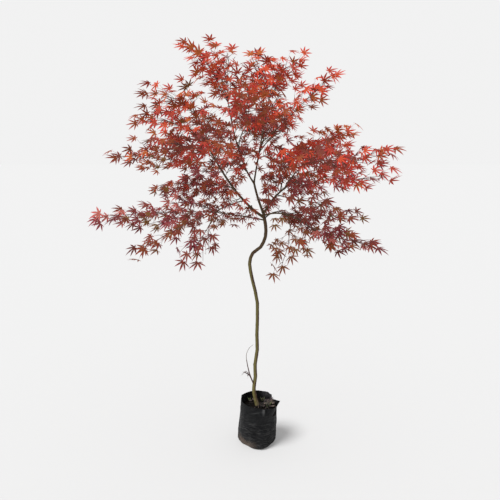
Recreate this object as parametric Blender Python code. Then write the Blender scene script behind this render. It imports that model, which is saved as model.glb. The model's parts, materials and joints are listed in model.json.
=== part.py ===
"""A young red-leaved garden maple in a black film grow bag.

Metres, +Z up. The origin is the centre of the bag's flat underside, and the tree's broad side faces -Y.
Trunk and boughs are tapering limbs that meet each other a hair's breadth apart. Each mass of foliage grows by
one seeded rule from the tip of its own bough: an arching stem, pairs of side shoots, and five-lobed leaves.
"""

import math
import random

import bmesh
import bpy
import numpy as np
from mathutils import Vector
from mathutils.bvhtree import BVHTree

# Fits
CLEARANCE = 0.0003  # between solids that meet
SLEEVE_OVERRUN = 0.004  # how far a limb's clearance sleeve runs past its foot
SLEEVE_EASE = 1.2  # a sleeve has flat sides, so it stands off a little more

# Bag and potting compost
BAG_RADIUS = 0.097
BAG_WALL = 0.0015
BAG_FLOOR = 0.003
BAG_LEAN = 0.012  # how far the mouth sits to the right of the base
BAG_SEGMENTS = 20
COMPOST_TOP = 0.200
COMPOST_SLUMP = 0.006  # the compost drops this much from its level middle to the film
COMPOST_LEVEL_SHARE = 0.55  # share of the radius that is level
COMPOST_EDGE = COMPOST_TOP - COMPOST_SLUMP
# Heights of the wall with their shares of the radius
BAG_PROFILE = ((0.0, 0.87), (0.006, 0.955), (0.018, 1.01), (0.06, 1.02), (0.12, 1.0), (COMPOST_EDGE, 0.985))
RIM_HEIGHT = 0.230
RIM_WAVE = 0.006
RIM_DIP = 0.024  # the rim sags at its front right
RIM_DIP_ANGLE = math.radians(-28)
RIM_DIP_WIDTH = 0.55
EAR_REACH = 0.024  # a pinch of film stands out at the right of the rim
EAR_ANGLE = 0.0
EAR_WIDTH = 0.24
CORNER_REACH = 0.006  # folded gusset corner low on the left
CORNER_ANGLE = math.radians(188)
CORNER_WIDTH = 0.30
CORNER_HEIGHT = 0.018
CORNER_FADE = 0.060  # it fades out this far above and below its height

# Trunk: height, lean to the right, lean to the back
TRUNK_BENDS = (
    (COMPOST_TOP + CLEARANCE, 0.003, 0.000),
    (0.270, -0.012, 0.004),
    (0.400, -0.006, 0.010),
    (0.580, 0.002, 0.004),
    (0.750, 0.003, -0.006),
    (0.865, -0.021, -0.008),
    (0.950, -0.036, -0.002),
    (1.003, -0.020, 0.004),
    (1.032, 0.018, 0.006),
    (1.085, 0.042, 0.004),
    (1.145, 0.042, 0.000),
    (1.206, 0.030, 0.000),
)
TRUNK_RADII = ((0.0, 0.0135), (0.05, 0.0102), (0.16, 0.0092), (0.5, 0.0084), (0.96, 0.0082), (1.0, 0.0064))
TRUNK_STEPS = 28
TRUNK_SIDES = 8
LIMB_STEPS = 4
LIMB_SIDES = 5

# Boughs: name, parent, share of the way along the parent, elbow, end, radius at the base and at the tip
BOUGHS = (
    ("centre", "trunk", 1.000, (0.002, 0.006, 1.270), (-0.015, 0.018, 1.350), 0.0062, 0.0050),
    ("left", "trunk", 0.975, (-0.105, -0.025, 1.262), (-0.250, -0.060, 1.560), 0.0066, 0.0034),
    ("right", "trunk", 0.990, (0.088, -0.010, 1.330), (0.270, -0.015, 1.395), 0.0054, 0.0030),
    ("right_low", "trunk", 0.985, (0.125, -0.035, 1.228), (0.225, -0.065, 1.160), 0.0040, 0.0026),
    ("left_low", "trunk", 0.962, (-0.060, 0.055, 1.180), (-0.225, 0.040, 1.205), 0.0034, 0.0024),
    ("back_low", "trunk", 0.970, (0.090, 0.120, 1.215), (0.165, 0.255, 1.170), 0.0036, 0.0024),
    ("centre_left", "centre", 0.970, (-0.095, 0.050, 1.450), (-0.140, 0.070, 1.735), 0.0042, 0.0026),
    ("centre_right", "centre", 0.985, (0.000, 0.000, 1.450), (0.056, -0.020, 1.745), 0.0042, 0.0026),
    ("right_top", "centre_right", 0.480, (0.090, -0.040, 1.590), (0.205, -0.085, 1.715), 0.0028, 0.0020),
    ("top_back", "centre_right", 0.620, (0.040, 0.050, 1.680), (0.030, 0.125, 1.770), 0.0026, 0.0020),
    ("left_top", "left", 0.860, (-0.235, 0.010, 1.560), (-0.270, 0.040, 1.640), 0.0030, 0.0022),
    ("left_mid", "left", 0.660, (-0.205, 0.005, 1.425), (-0.275, 0.020, 1.430), 0.0030, 0.0022),
    ("left_back", "left", 0.400, (-0.125, 0.070, 1.325), (-0.185, 0.140, 1.335), 0.0030, 0.0022),
    ("left_front", "left", 0.270, (-0.110, -0.085, 1.262), (-0.175, -0.150, 1.235), 0.0032, 0.0024),
    ("left_drop", "left_front", 0.800, (-0.190, -0.210, 1.240), (-0.215, -0.255, 1.175), 0.0022, 0.0018),
    ("right_back", "right", 0.760, (0.190, 0.060, 1.400), (0.240, 0.110, 1.450), 0.0030, 0.0022),
    ("right_mid", "right", 0.700, (0.205, -0.070, 1.360), (0.270, -0.125, 1.350), 0.0028, 0.0022),
    ("right_side", "right", 0.360, (0.115, -0.070, 1.292), (0.175, -0.165, 1.280), 0.0030, 0.0022),
    ("right_under", "right_low", 0.560, (0.165, 0.030, 1.200), (0.230, 0.105, 1.195), 0.0024, 0.0020),
    ("front_left", "left", 0.480, (-0.150, -0.130, 1.390), (-0.180, -0.275, 1.455), 0.0034, 0.0024),
    ("front_right", "right", 0.520, (0.130, -0.130, 1.350), (0.165, -0.275, 1.410), 0.0034, 0.0024),
    ("front_high", "centre_left", 0.420, (-0.090, -0.070, 1.560), (-0.050, -0.215, 1.610), 0.0030, 0.0022),
    ("back_left", "centre_left", 0.170, (-0.070, 0.150, 1.410), (-0.145, 0.265, 1.475), 0.0034, 0.0024),
    ("back_right", "right", 0.440, (0.120, 0.120, 1.345), (0.175, 0.265, 1.430), 0.0034, 0.0024),
    ("back_high", "centre_right", 0.240, (0.005, 0.130, 1.480), (0.040, 0.260, 1.570), 0.0034, 0.0024),
    ("inner_left", "left", 0.780, (-0.185, -0.105, 1.490), (-0.165, -0.150, 1.545), 0.0028, 0.0022),
    ("inner_right", "centre_right", 0.360, (0.050, -0.080, 1.560), (0.100, -0.150, 1.580), 0.0028, 0.0022),
    ("right_drop", "right_low", 0.520, (0.150, -0.120, 1.200), (0.150, -0.190, 1.150), 0.0024, 0.0020),
)
# Boughs that crowd a fork stand clear of these as well as of their parent
CROWDED = {
    "left": ("centre",),
    "right": ("centre", "left"),
    "right_low": ("right", "centre"),
    "left_low": ("left",),
    "back_low": ("left_low", "centre", "left", "right", "right_low"),
    "centre_right": ("centre_left",),
}

# Foliage: name, bough that carries it, furthest tip, half width, half depth, arch, pairs of shoots
FOLIAGE = (
    ("top_left", "centre_left", (-0.390, 0.040, 2.060), 0.150, 0.160, 0.050, 3),
    ("top_right", "centre_right", (0.240, -0.050, 1.965), 0.150, 0.160, 0.050, 3),
    ("top_back", "top_back", (-0.020, 0.200, 2.045), 0.150, 0.150, 0.000, 3),
    ("right_top", "right_top", (0.395, -0.120, 1.885), 0.130, 0.110, 0.020, 2),
    ("upper_left", "left", (-0.610, -0.120, 1.665), 0.160, 0.110, 0.030, 3),
    ("left_top", "left_top", (-0.580, 0.080, 1.835), 0.150, 0.130, 0.060, 3),
    ("left_mid", "left_mid", (-0.775, 0.020, 1.505), 0.170, 0.100, 0.030, 3),
    ("left_low", "left_low", (-0.860, 0.000, 1.200), 0.170, 0.100, 0.030, 3),
    ("left_back", "left_back", (-0.540, 0.400, 1.340), 0.170, 0.090, 0.010, 3),
    ("left_front", "left_front", (-0.590, -0.300, 1.060), 0.150, 0.090, 0.060, 3),
    ("left_drop", "left_drop", (-0.310, -0.370, 0.980), 0.140, 0.140, 0.020, 2),
    ("right_back", "right_back", (0.500, 0.180, 1.660), 0.160, 0.110, 0.060, 3),
    ("right", "right", (0.720, -0.010, 1.520), 0.160, 0.100, 0.000, 3),
    ("right_mid", "right_mid", (0.680, -0.180, 1.400), 0.150, 0.090, 0.020, 3),
    ("right_side", "right_side", (0.400, -0.480, 1.260), 0.150, 0.090, 0.020, 2),
    ("right_low", "right_low", (0.665, -0.060, 1.055), 0.160, 0.100, 0.020, 3),
    ("right_under", "right_under", (0.620, 0.330, 1.200), 0.150, 0.080, 0.010, 2),
    ("right_drop", "right_drop", (0.070, -0.290, 0.940), 0.150, 0.140, 0.030, 2),
    ("back_low", "back_low", (0.330, 0.540, 0.980), 0.160, 0.100, 0.060, 3),
    ("front_left", "front_left", (-0.380, -0.680, 1.540), 0.180, 0.120, 0.040, 3),
    ("front_right", "front_right", (0.330, -0.670, 1.470), 0.170, 0.120, 0.040, 3),
    ("front_high", "front_high", (-0.070, -0.590, 1.770), 0.180, 0.130, 0.020, 3),
    ("back_left", "back_left", (-0.400, 0.640, 1.600), 0.180, 0.130, 0.040, 3),
    ("back_right", "back_right", (0.400, 0.620, 1.500), 0.180, 0.120, 0.040, 3),
    ("back_high", "back_high", (0.080, 0.640, 1.780), 0.180, 0.130, 0.030, 3),
    ("inner_left", "inner_left", (-0.250, -0.420, 1.640), 0.140, 0.120, 0.010, 2),
    ("inner_right", "inner_right", (0.160, -0.360, 1.700), 0.140, 0.120, 0.010, 2),
)
FIRST_SEED = 41

# Growth rule
STEM_STEPS = 3
STEM_SIDES = 4
TWIG_SIDES = 3
STEM_THINNING = 0.95  # a stem is this much thinner than the end of its bough
STEM_TIP_RADIUS = 0.0021
SHOOT_RADIUS = 0.0017
SHOOT_TIP_RADIUS = 0.0015
TIP_LEAF_SHARE = 0.92  # share of the last leaf that reaches past the stem
LEAVING_PULL = 0.35  # how much the stem keeps to its bough's own direction
STEM_NODES = (0.82, 0.52)  # leaf pairs on the stem itself
LEAF_LEAN = 0.4  # how far those lean towards the tip
FIRST_PAIR = 0.14  # share of the stem below the first pair of shoots
SHOOT_ANGLE = math.radians(52)  # between a shoot and its stem
SHOOT_DROOP = 0.12
SPREAD_AT_TIP = 0.60  # the mass narrows to this share of its width
SWELL_AT_FOOT = 0.30  # how far on in its swell it starts
PAIR_TURN = math.radians(58)  # each pair stands across the one before
SHOOT_JITTER = math.radians(16)
SHOOT_STAGGER = 0.008  # one shoot of a pair starts this much further along the stem
SHORTEST_SHOOT = 0.022
PAIR_SHARE = 0.62  # share of a shoot below its pair of leaves
SPACE_SLACK = 1.25  # a leaf's tips may stand this far out of the mass's own ellipse
BEHIND_FOOT = 0.30  # and this share of the stem's length behind its foot
HANGING_ROOM = 0.042  # above and below, for leaves that hang
STEM_MARKS = 8  # points of a stem that its distance is measured from
TOUCH_GAP = 0.0012
LEAF_TRIES = 12
MOST_LEAVES = 12  # in one mass

# Leaf
LEAF_LENGTH = 0.104
LOBE_ANGLES = tuple(math.radians(degrees) for degrees in (-92, -44, 0, 44, 92))
LOBE_LENGTHS = (0.62, 0.90, 1.00, 0.90, 0.62)
NOTCH_LENGTH = 0.33
NOTCH_SAG = 0.02
BASE_ANGLE = math.radians(100)
BASE_LENGTH = 0.03
LEAF_HALF_THICKNESS = 0.0010
LOBE_SAG = 0.20
STALK_LENGTH = 0.026
ROOT_SHARE = 0.35  # the stalk thins to this share of its width at its root
ROOT_OFFSET = 0.0004  # a root starts this far to its own side of the twig's middle
TIP_SINK = 0.0030  # how deep a leaf's root is sunk in the end of a twig
STALK_RISE = 0.35
BLADE_DROP = (0.30, 1.10)  # how steeply the blades hang
TIP_DROP = (0.05, 0.30)  # and the one at the end of a stem
BLADE_ROLL = 0.9
LIMB_GUARD = 0.0025
GUARDED_SHARE = 0.9  # of a limb's last stretch: the rest is where its stem of foliage starts

# Shoot at the foot of the trunk
FOOT_SHOOT_AT = 0.105
FOOT_SHOOT_END = (-0.052, -0.018, 0.440)
FOOT_SHOOT_ELBOW = (-0.034, -0.012, 0.360)
FOOT_SHOOT_RADII = (0.0016, 0.0012)
FOOT_LEAF_LENGTH = 0.045

UP = Vector((0, 0, 1))
# Colour and roughness
FINISHES = {
    "bark": ((0.16, 0.12, 0.05, 1), 0.75),
    "foliage": ((0.42, 0.05, 0.03, 1), 0.55),
    "film": ((0.025, 0.026, 0.028, 1), 0.45),
    "compost": ((0.035, 0.022, 0.016, 1), 0.95),
}


def finish(name, kind):
    """A Principled material of one kind, for the object of that name."""
    material = bpy.data.materials.new(name)
    material.use_nodes = True
    shader = material.node_tree.nodes["Principled BSDF"]
    shader.inputs["Base Color"].default_value, shader.inputs["Roughness"].default_value = FINISHES[kind]
    return material


def add_object(name, build, material):
    """An object whose mesh is what is in build, a bmesh, which is freed."""
    bmesh.ops.recalc_face_normals(build, faces=build.faces)
    mesh = bpy.data.meshes.new(name)
    build.to_mesh(mesh)
    build.free()
    mesh.materials.append(material)
    made = bpy.data.objects.new(name, mesh)
    bpy.context.scene.collection.objects.link(made)
    return made


def square_frame(direction):
    """Forward, level side and lift vectors, square to each other."""
    forward = direction.normalized()
    side = forward.cross(UP)
    if side.length < 1e-3:
        side = Vector((1, 0, 0))
    side.normalize()
    return forward, side, side.cross(forward)


def through(points, steps):
    """A smooth route through all the points, sampled evenly between each pair of them."""
    ends = [points[0] * 2 - points[1], *points, points[-1] * 2 - points[-2]]
    pieces = len(points) - 1
    route = []
    for step in range(steps + 1):
        at = step / steps * pieces
        piece = min(int(at), pieces - 1)
        t = at - piece
        a, b, c, d = ends[piece : piece + 4]
        route.append(
            0.5 * ((2 * b) + (c - a) * t + (2 * a - 5 * b + 4 * c - d) * t**2 + (3 * b - a - 3 * c + d) * t**3)
        )
    return route


def bent(start, elbow, end, steps):
    """A route from start to end that leans towards the elbow."""
    route = []
    for step in range(steps + 1):
        t = step / steps
        route.append(start * (1 - t) ** 2 + elbow * (2 * t * (1 - t)) + end * t**2)
    return route


def along(route, share):
    """The point at a share of a route's length, and the route's direction there."""
    lengths = [(b - a).length for a, b in zip(route, route[1:])]
    left = share * sum(lengths)
    for a, b, length in zip(route, route[1:], lengths):
        if left <= length or b is route[-1]:
            return a.lerp(b, min(1.0, left / length)), (b - a).normalized()
        left -= length
    raise ValueError("a share runs from 0 to 1")


def tapered(radii, share):
    """The radius at a share of the way, from pairs of share and radius."""
    return float(np.interp(share, [s for s, _ in radii], [r for _, r in radii]))


def tube(route, radius_at, sides, level_foot=False):
    """A closed tube round a route, as a bmesh. A level foot is cut flat, whatever way the route leaves it."""
    build = bmesh.new()
    turn = square_frame(route[1] - route[0])[1]
    rings = []
    for index, centre in enumerate(route):
        before, after = route[max(index - 1, 0)], route[min(index + 1, len(route) - 1)]
        forward = (after - before).normalized()
        turn = (turn - forward * turn.dot(forward)).normalized()
        across = forward.cross(turn)
        radius = radius_at(index / (len(route) - 1))
        ring = []
        for corner in range(sides):
            angle = 2 * math.pi * corner / sides
            out = turn * math.cos(angle) + across * math.sin(angle)
            ring.append(build.verts.new(centre + out * radius))
        rings.append(ring)
    if level_foot:
        for vert in rings[0]:
            vert.co.z = route[0].z
    for low, high in zip(rings, rings[1:]):
        for corner in range(sides):
            following = (corner + 1) % sides
            build.faces.new((low[corner], low[following], high[following], high[corner]))
    build.faces.new(rings[0][::-1])
    build.faces.new(rings[-1])
    return build


# ---------------------------------------------------------------- bag and compost


def angle_apart(angle, other):
    """The difference of two angles, between -pi and pi."""
    return (angle - other + math.pi) % (2 * math.pi) - math.pi


def hump(angle, middle, width):
    """1 at the middle angle, falling to 0 on both sides."""
    return math.exp(-((angle_apart(angle, middle) / width) ** 2))


def rim_height(angle):
    """The uneven cut edge of the bag."""
    wave = RIM_WAVE * (0.6 * math.sin(angle + 0.5) + 0.4 * math.sin(3 * angle + 1.1))
    return RIM_HEIGHT + wave - RIM_DIP * hump(angle, RIM_DIP_ANGLE, RIM_DIP_WIDTH)


def bag_point(angle, height, share, inset):
    """A point of the bag's wall, set in from its outer surface."""
    fade = max(0.0, 1 - abs(height - CORNER_HEIGHT) / CORNER_FADE)
    corner = CORNER_REACH * hump(angle, CORNER_ANGLE, CORNER_WIDTH) * fade
    rise = max(0.0, (height - COMPOST_EDGE) / (RIM_HEIGHT - COMPOST_EDGE))
    ear = EAR_REACH * hump(angle, EAR_ANGLE, EAR_WIDTH) * rise
    radius = BAG_RADIUS * share + corner + ear - inset
    lean = BAG_LEAN * height / RIM_HEIGHT
    return Vector((lean + radius * math.cos(angle), radius * math.sin(angle), height))


def bag_ring(build, level, inset, lift=0.0):
    """A ring of the wall at one level of the profile, or at the rim where level is None."""
    ring = []
    for segment in range(BAG_SEGMENTS):
        angle = 2 * math.pi * segment / BAG_SEGMENTS
        if level is None:
            height, share = rim_height(angle), BAG_PROFILE[-1][1]
        else:
            height, share = BAG_PROFILE[level]
        ring.append(build.verts.new(bag_point(angle, height + lift, share, inset)))
    return ring


def bridge(build, rings):
    """Faces between each ring and the next, each split the same way, so that nested walls stay parallel."""
    for low, high in zip(rings, rings[1:]):
        for segment in range(len(low)):
            following = (segment + 1) % len(low)
            build.faces.new((low[segment], low[following], high[following]))
            build.faces.new((low[segment], high[following], high[segment]))


def make_bag():
    """The film bag: a thin wall and floor with a flat underside and an open, uneven mouth."""
    build = bmesh.new()
    levels = range(len(BAG_PROFILE))
    outer = [bag_ring(build, level, 0.0) for level in levels] + [bag_ring(build, None, 0.0)]
    inner = [bag_ring(build, 0, BAG_WALL, BAG_FLOOR)]
    inner += [bag_ring(build, level, BAG_WALL) for level in levels[2:]] + [bag_ring(build, None, BAG_WALL)]
    for rings in (outer, inner, (outer[-1], inner[-1])):
        bridge(build, rings)
    build.faces.new(outer[0][::-1])
    build.faces.new(inner[0])
    add_object("grow_bag", build, finish("grow_bag", "film"))


def make_compost():
    """The root ball's compost, which fills the bag to a little below its rim."""
    build = bmesh.new()
    inset = BAG_WALL + CLEARANCE
    rings = [bag_ring(build, 0, inset, BAG_FLOOR + CLEARANCE)]
    rings += [bag_ring(build, level, inset) for level in range(2, len(BAG_PROFILE))]
    lean = BAG_LEAN * COMPOST_EDGE / RIM_HEIGHT
    level_radius = BAG_RADIUS * COMPOST_LEVEL_SHARE
    rings.append([])
    for segment in range(BAG_SEGMENTS):
        angle = 2 * math.pi * segment / BAG_SEGMENTS
        point = Vector((lean + level_radius * math.cos(angle), level_radius * math.sin(angle), COMPOST_TOP))
        rings[-1].append(build.verts.new(point))
    bridge(build, rings)
    build.faces.new(rings[0][::-1])
    build.faces.new(rings[-1])
    add_object("compost", build, finish("compost", "compost"))


# ---------------------------------------------------------------- trunk and boughs


class Limb:
    """A tapering limb: its route, its radii and the hidden sleeve that keeps its neighbours clear of it."""

    def __init__(self, name, route, radii, sides, level_foot=False):
        self.route, self.radii = route, radii
        material = finish(name, "bark")
        self.solid = add_object(name, tube(route, self.radius, sides, level_foot), material)
        first = (route[0] - route[1]).normalized() * SLEEVE_OVERRUN
        last = (route[-1] - route[-2]).normalized() * CLEARANCE
        longer = [route[0] + first, *route[1:-1], route[-1] + last]
        sleeve = tube(longer, lambda share: self.radius(share) + CLEARANCE * SLEEVE_EASE, sides)
        self.sleeve = add_object(name + "_sleeve", sleeve, material)
        self.sleeve.hide_render = True
        self.sleeve.display_type = "WIRE"

    def push_back(self, solid):
        """Cuts another solid back to a hair's breadth off this limb."""
        cut = solid.modifiers.new("clear_of_" + self.solid.name, "BOOLEAN")
        cut.operation = "DIFFERENCE"
        cut.solver = "EXACT"
        cut.object = self.sleeve

    def radius(self, share):
        return tapered(self.radii, share)

    def guard(self, share):
        """The radius that growth keeps clear of."""
        return self.radius(share) + LIMB_GUARD


def make_limbs():
    """The trunk and every bough, each cut clear of the limbs that it grows from."""
    bends = [Vector((right, back, height)) for height, right, back in TRUNK_BENDS]
    route = through(bends, TRUNK_STEPS)
    limbs = {"trunk": Limb("trunk", route, TRUNK_RADII, TRUNK_SIDES, level_foot=True)}
    for name, parent, share, elbow, end, base, tip in BOUGHS:
        carrier = limbs[parent]
        start = along(carrier.route, share)[0]
        bough_route = bent(start, Vector(elbow), Vector(end), LIMB_STEPS)
        limbs[name] = Limb("bough_" + name, bough_route, ((0.0, base), (1.0, tip)), LIMB_SIDES)
        for neighbour in (parent, *CROWDED.get(name, ())):
            limbs[neighbour].push_back(limbs[name].solid)
    return limbs


# ---------------------------------------------------------------- what already takes up space


class Taken:
    """The surfaces of everything grown so far, to keep new growth from touching them."""

    def __init__(self):
        self.trees, self.centres, self.reaches = [], [], []

    def add(self, corners, faces):
        centre, reach = ball_round(corners)
        self.trees.append(BVHTree.FromPolygons(corners, faces))
        self.centres.append(centre)
        self.reaches.append(reach)

    def touches(self, corners, faces):
        """Does a surface cross one that is already there?"""
        centre, reach = ball_round(corners)
        away = np.linalg.norm(np.array(self.centres) - np.array(centre), axis=1)
        near = np.nonzero(away < np.array(self.reaches) + reach)[0]
        if not len(near):
            return False
        tree = BVHTree.FromPolygons(corners, faces)
        return any(tree.overlap(self.trees[index]) for index in near)


def surface_of(build):
    """The corners and faces of a bmesh, which is freed."""
    build.verts.index_update()
    corners = [vert.co.copy() for vert in build.verts]
    faces = [[vert.index for vert in face.verts] for face in build.faces]
    build.free()
    return corners, faces


def ball_round(corners):
    """The centre and radius of a ball round the corners."""
    centre = sum(corners, Vector()) / len(corners)
    return centre, max((corner - centre).length for corner in corners)


# ---------------------------------------------------------------- leaves

LOBES = len(LOBE_ANGLES)
OUTLINE = 2 * LOBES + 1  # lobe tips, the notches between them and the two corners at the stalk
LEFT, RIGHT = 0, OUTLINE - 1
TOP, UNDER, ROOT_LEFT, ROOT_RIGHT, ROOT_UNDER = range(OUTLINE, OUTLINE + 5)
BLADE_FACES = [(TOP, i, i + 1) for i in range(OUTLINE - 1)] + [(UNDER, i + 1, i) for i in range(OUTLINE - 1)]
STALK_FACES = [
    (TOP, RIGHT, LEFT),
    (LEFT, RIGHT, ROOT_RIGHT, ROOT_LEFT),
    (RIGHT, UNDER, ROOT_UNDER, ROOT_RIGHT),
    (UNDER, LEFT, ROOT_LEFT, ROOT_UNDER),
    (ROOT_LEFT, ROOT_RIGHT, ROOT_UNDER),
]


class Leaf:
    """A five-lobed blade on a thin stalk. Its root is sunk in a twig, and its blade hangs."""

    def __init__(self, root, outward, drop, roll, length=LEAF_LENGTH):
        outward = outward.normalized()
        stalk = (outward + UP * STALK_RISE).normalized()
        self.root, self.middle, self.length = root + stalk * ROOT_OFFSET, root + stalk * STALK_LENGTH, length
        self.tip_way = (outward - UP * drop).normalized()
        side = self.tip_way.cross(UP).normalized()
        face = side.cross(self.tip_way)
        self.side = side * math.cos(roll) + face * math.sin(roll)
        self.face = self.side.cross(self.tip_way)

    def place(self, angle, share, sag=0.0):
        """A point of the blade, by its angle from the middle lobe and its share of the leaf's length."""
        reach = self.length * share
        flat = self.side * (reach * math.sin(angle)) + self.tip_way * (reach * math.cos(angle))
        return self.middle + flat - self.face * (sag * self.length)

    def tips(self):
        return [self.place(a, share, LOBE_SAG * share**2) for a, share in zip(LOBE_ANGLES, LOBE_LENGTHS)]

    def corners(self, thicker=0.0):
        """The outline, the middle's two faces and the stalk's root, in the order that the faces use."""
        found = [self.place(-BASE_ANGLE, BASE_LENGTH)]
        for index, tip in enumerate(self.tips()):
            found.append(tip)
            if index < LOBES - 1:
                between = (LOBE_ANGLES[index] + LOBE_ANGLES[index + 1]) / 2
                found.append(self.place(between, NOTCH_LENGTH, NOTCH_SAG))
        found.append(self.place(BASE_ANGLE, BASE_LENGTH))
        half = self.face * (LEAF_HALF_THICKNESS + thicker)
        found += [self.middle + half, self.middle - half]
        neck = [found[LEFT], found[RIGHT], found[UNDER]]
        centre = sum(neck, Vector()) / len(neck)
        found += [self.root + (corner - centre) * ROOT_SHARE for corner in neck]
        return found

    def solid(self, name, material):
        """The blade and its stalk as one closed object."""
        build = bmesh.new()
        verts = [build.verts.new(corner) for corner in self.corners()]
        for face in BLADE_FACES + STALK_FACES:
            build.faces.new([verts[index] for index in face])
        return add_object(name, build, material)


# ---------------------------------------------------------------- foliage


class Spray:
    """A mass of foliage: an arching stem, pairs of shoots across it, and leaves on the shoots."""

    def __init__(self, name, carrier, tip, half_width, half_depth, arch, pairs, seed):
        self.name, self.pairs = name, pairs
        self.half_width, self.half_depth = half_width, half_depth
        self.draw = random.Random(seed)
        route_end = carrier.route[-1]
        leaving = (route_end - carrier.route[-2]).normalized()
        start = route_end + leaving * CLEARANCE
        self.thickness = carrier.radius(1.0) * STEM_THINNING
        tip = Vector(tip)
        inner_tip = tip - (tip - start).normalized() * (STALK_LENGTH + LEAF_LENGTH * TIP_LEAF_SHARE)
        raised = start.lerp(inner_tip, 0.5) + UP * arch * 2
        straight_on = start + leaving * (inner_tip - start).length / 2
        elbow = raised.lerp(straight_on, LEAVING_PULL)
        self.stem = bent(start, elbow, inner_tip, STEM_STEPS)
        self.stem[1] = self.stem[0] + leaving * (self.stem[1] - self.stem[0]).length
        self.marks = [along(self.stem, mark / STEM_MARKS)[0] for mark in range(STEM_MARKS + 1)]

    def stem_radius(self, share):
        return self.thickness + (STEM_TIP_RADIUS - self.thickness) * share

    def narrowing(self, share):
        """How wide the mass is at a share of its stem, against its widest."""
        swell = math.sin(math.pi * (SWELL_AT_FOOT + (1 - SWELL_AT_FOOT) * share))
        return SPREAD_AT_TIP + (1 - SPREAD_AT_TIP) * swell

    def holds(self, point):
        """Is the point in this mass's own space?"""
        axis = self.stem[-1] - self.stem[0]
        share = (point - self.stem[0]).dot(axis) / axis.length_squared
        if share < -BEHIND_FOOT:
            return False
        inside = min(1.0, max(0.0, share))
        centre = along(self.stem, inside)[0]
        forward, side, lift = square_frame(axis)
        away = point - centre
        beyond = max(0.0, share - 1) * axis.length / (STALK_LENGTH + LEAF_LENGTH)
        across = away.dot(side) / (self.half_width * self.narrowing(inside))
        up = away.dot(lift) / (self.half_depth * self.narrowing(inside) + HANGING_ROOM)
        return across**2 + up**2 + beyond**2 < SPACE_SLACK**2

    def nearest(self, point):
        """The distance from a point to this mass's stem."""
        return min((point - centre).length for centre in self.marks)

    def shoots(self):
        """Each shoot as (start, end), in pairs on both sides of the stem, every pair turned across the last."""
        found = []
        for pair in range(self.pairs):
            share = FIRST_PAIR + (1 - FIRST_PAIR) * (pair + 0.35) / self.pairs
            root, direction = along(self.stem, share)
            forward, side, lift = square_frame(direction)
            turn = (pair % 2) * PAIR_TURN + self.draw.uniform(-1, 1) * SHOOT_JITTER
            for way in (1, -1):
                out = (side * math.cos(turn) + lift * math.sin(turn)) * way
                size = math.hypot(self.half_width * math.cos(turn), self.half_depth * math.sin(turn))
                length = size * self.narrowing(share) / math.sin(SHOOT_ANGLE) - STALK_LENGTH - LEAF_LENGTH / 2
                length = max(SHORTEST_SHOOT, length) * self.draw.uniform(0.85, 1.1)
                heading = forward * math.cos(SHOOT_ANGLE) + out * math.sin(SHOOT_ANGLE) - UP * SHOOT_DROOP
                foot = root + forward * (SHOOT_STAGGER * way / 2)
                found.append((foot, foot + heading.normalized() * length))
        return found

    def pair_on(self, start, end):
        """Where a pair of leaves stands across a shoot. Each is (root, outward)."""
        heading = (end - start).normalized()
        side = square_frame(heading)[1]
        node = start.lerp(end, PAIR_SHARE + self.draw.uniform(-0.08, 0.08))
        return [(node, side * way + heading * self.draw.uniform(0.2, 0.6)) for way in (1, -1)]

    def leaf_at(self, root, outward, taken, neighbours, last):
        """A leaf that keeps to this mass's space and touches nothing, or None."""
        for _ in range(LEAF_TRIES):
            drop = self.draw.uniform(*(TIP_DROP if last else BLADE_DROP))
            leaf = Leaf(root, outward, drop, self.draw.uniform(-1, 1) * BLADE_ROLL)
            tips = leaf.tips()
            centre = (leaf.middle + tips[LOBES // 2]) / 2
            own = self.nearest(centre)
            if not all(self.holds(tip) for tip in tips) or any(other.nearest(centre) < own for other in neighbours):
                continue
            if not taken.touches(leaf.corners(TOUCH_GAP)[: UNDER + 1], BLADE_FACES):
                return leaf
        return None

    def grow(self, taken, neighbours):
        """Grows the mass into one solid, leaving out what would leave its space or touch something."""
        material = finish(self.name, "foliage")
        fused = [add_object(self.name + "_stem", tube(self.stem, self.stem_radius, STEM_SIDES), material)]
        taken.add(*surface_of(tube(self.stem, lambda share: self.stem_radius(share) + TOUCH_GAP, STEM_SIDES)))
        heading = (self.stem[-1] - self.stem[-2]).normalized()
        stem_end = (self.stem[-1] - heading * TIP_SINK, heading)
        ends, pairs = [stem_end], []
        for share in STEM_NODES:
            node, direction = along(self.stem, share)
            side = square_frame(direction)[1]
            pairs += [(node, side * way + direction * LEAF_LEAN) for way in (1, -1)]
        for start, end in self.shoots():
            trial = tube([start.lerp(end, 0.2), end], lambda share: SHOOT_RADIUS + TOUCH_GAP, TWIG_SIDES)
            corners, faces = surface_of(trial)
            if taken.touches(corners, faces) or not self.holds(end):
                continue
            taken.add(corners, faces)
            fused.append(add_object(self.name + "_shoot", tube([start, end], shoot_radius, TWIG_SIDES), material))
            heading = (end - start).normalized()
            ends.append((end - heading * TIP_SINK, heading))
            pairs += self.pair_on(start, end)
        count = 0
        for place in ends + pairs:
            leaf = self.leaf_at(*place, taken, neighbours, place is stem_end)
            if leaf and count < MOST_LEAVES:
                fused.append(leaf.solid(self.name + "_leaf", material))
                taken.add(leaf.corners()[: UNDER + 1], BLADE_FACES)
                count += 1
        fuse(self.name, fused)
        return count


def shoot_radius(share):
    """A shoot's radius at a share of its length."""
    return SHOOT_RADIUS + (SHOOT_TIP_RADIUS - SHOOT_RADIUS) * share


def bodies_of(build):
    """The separate bodies of a bmesh, as lists of its vertices."""
    left = set(build.verts)
    bodies = []
    while left:
        reached = [left.pop()]
        body = []
        while reached:
            vert = reached.pop()
            body.append(vert)
            for edge in vert.link_edges:
                other = edge.other_vert(vert)
                if other in left:
                    left.remove(other)
                    reached.append(other)
        bodies.append(body)
    return bodies


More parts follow.
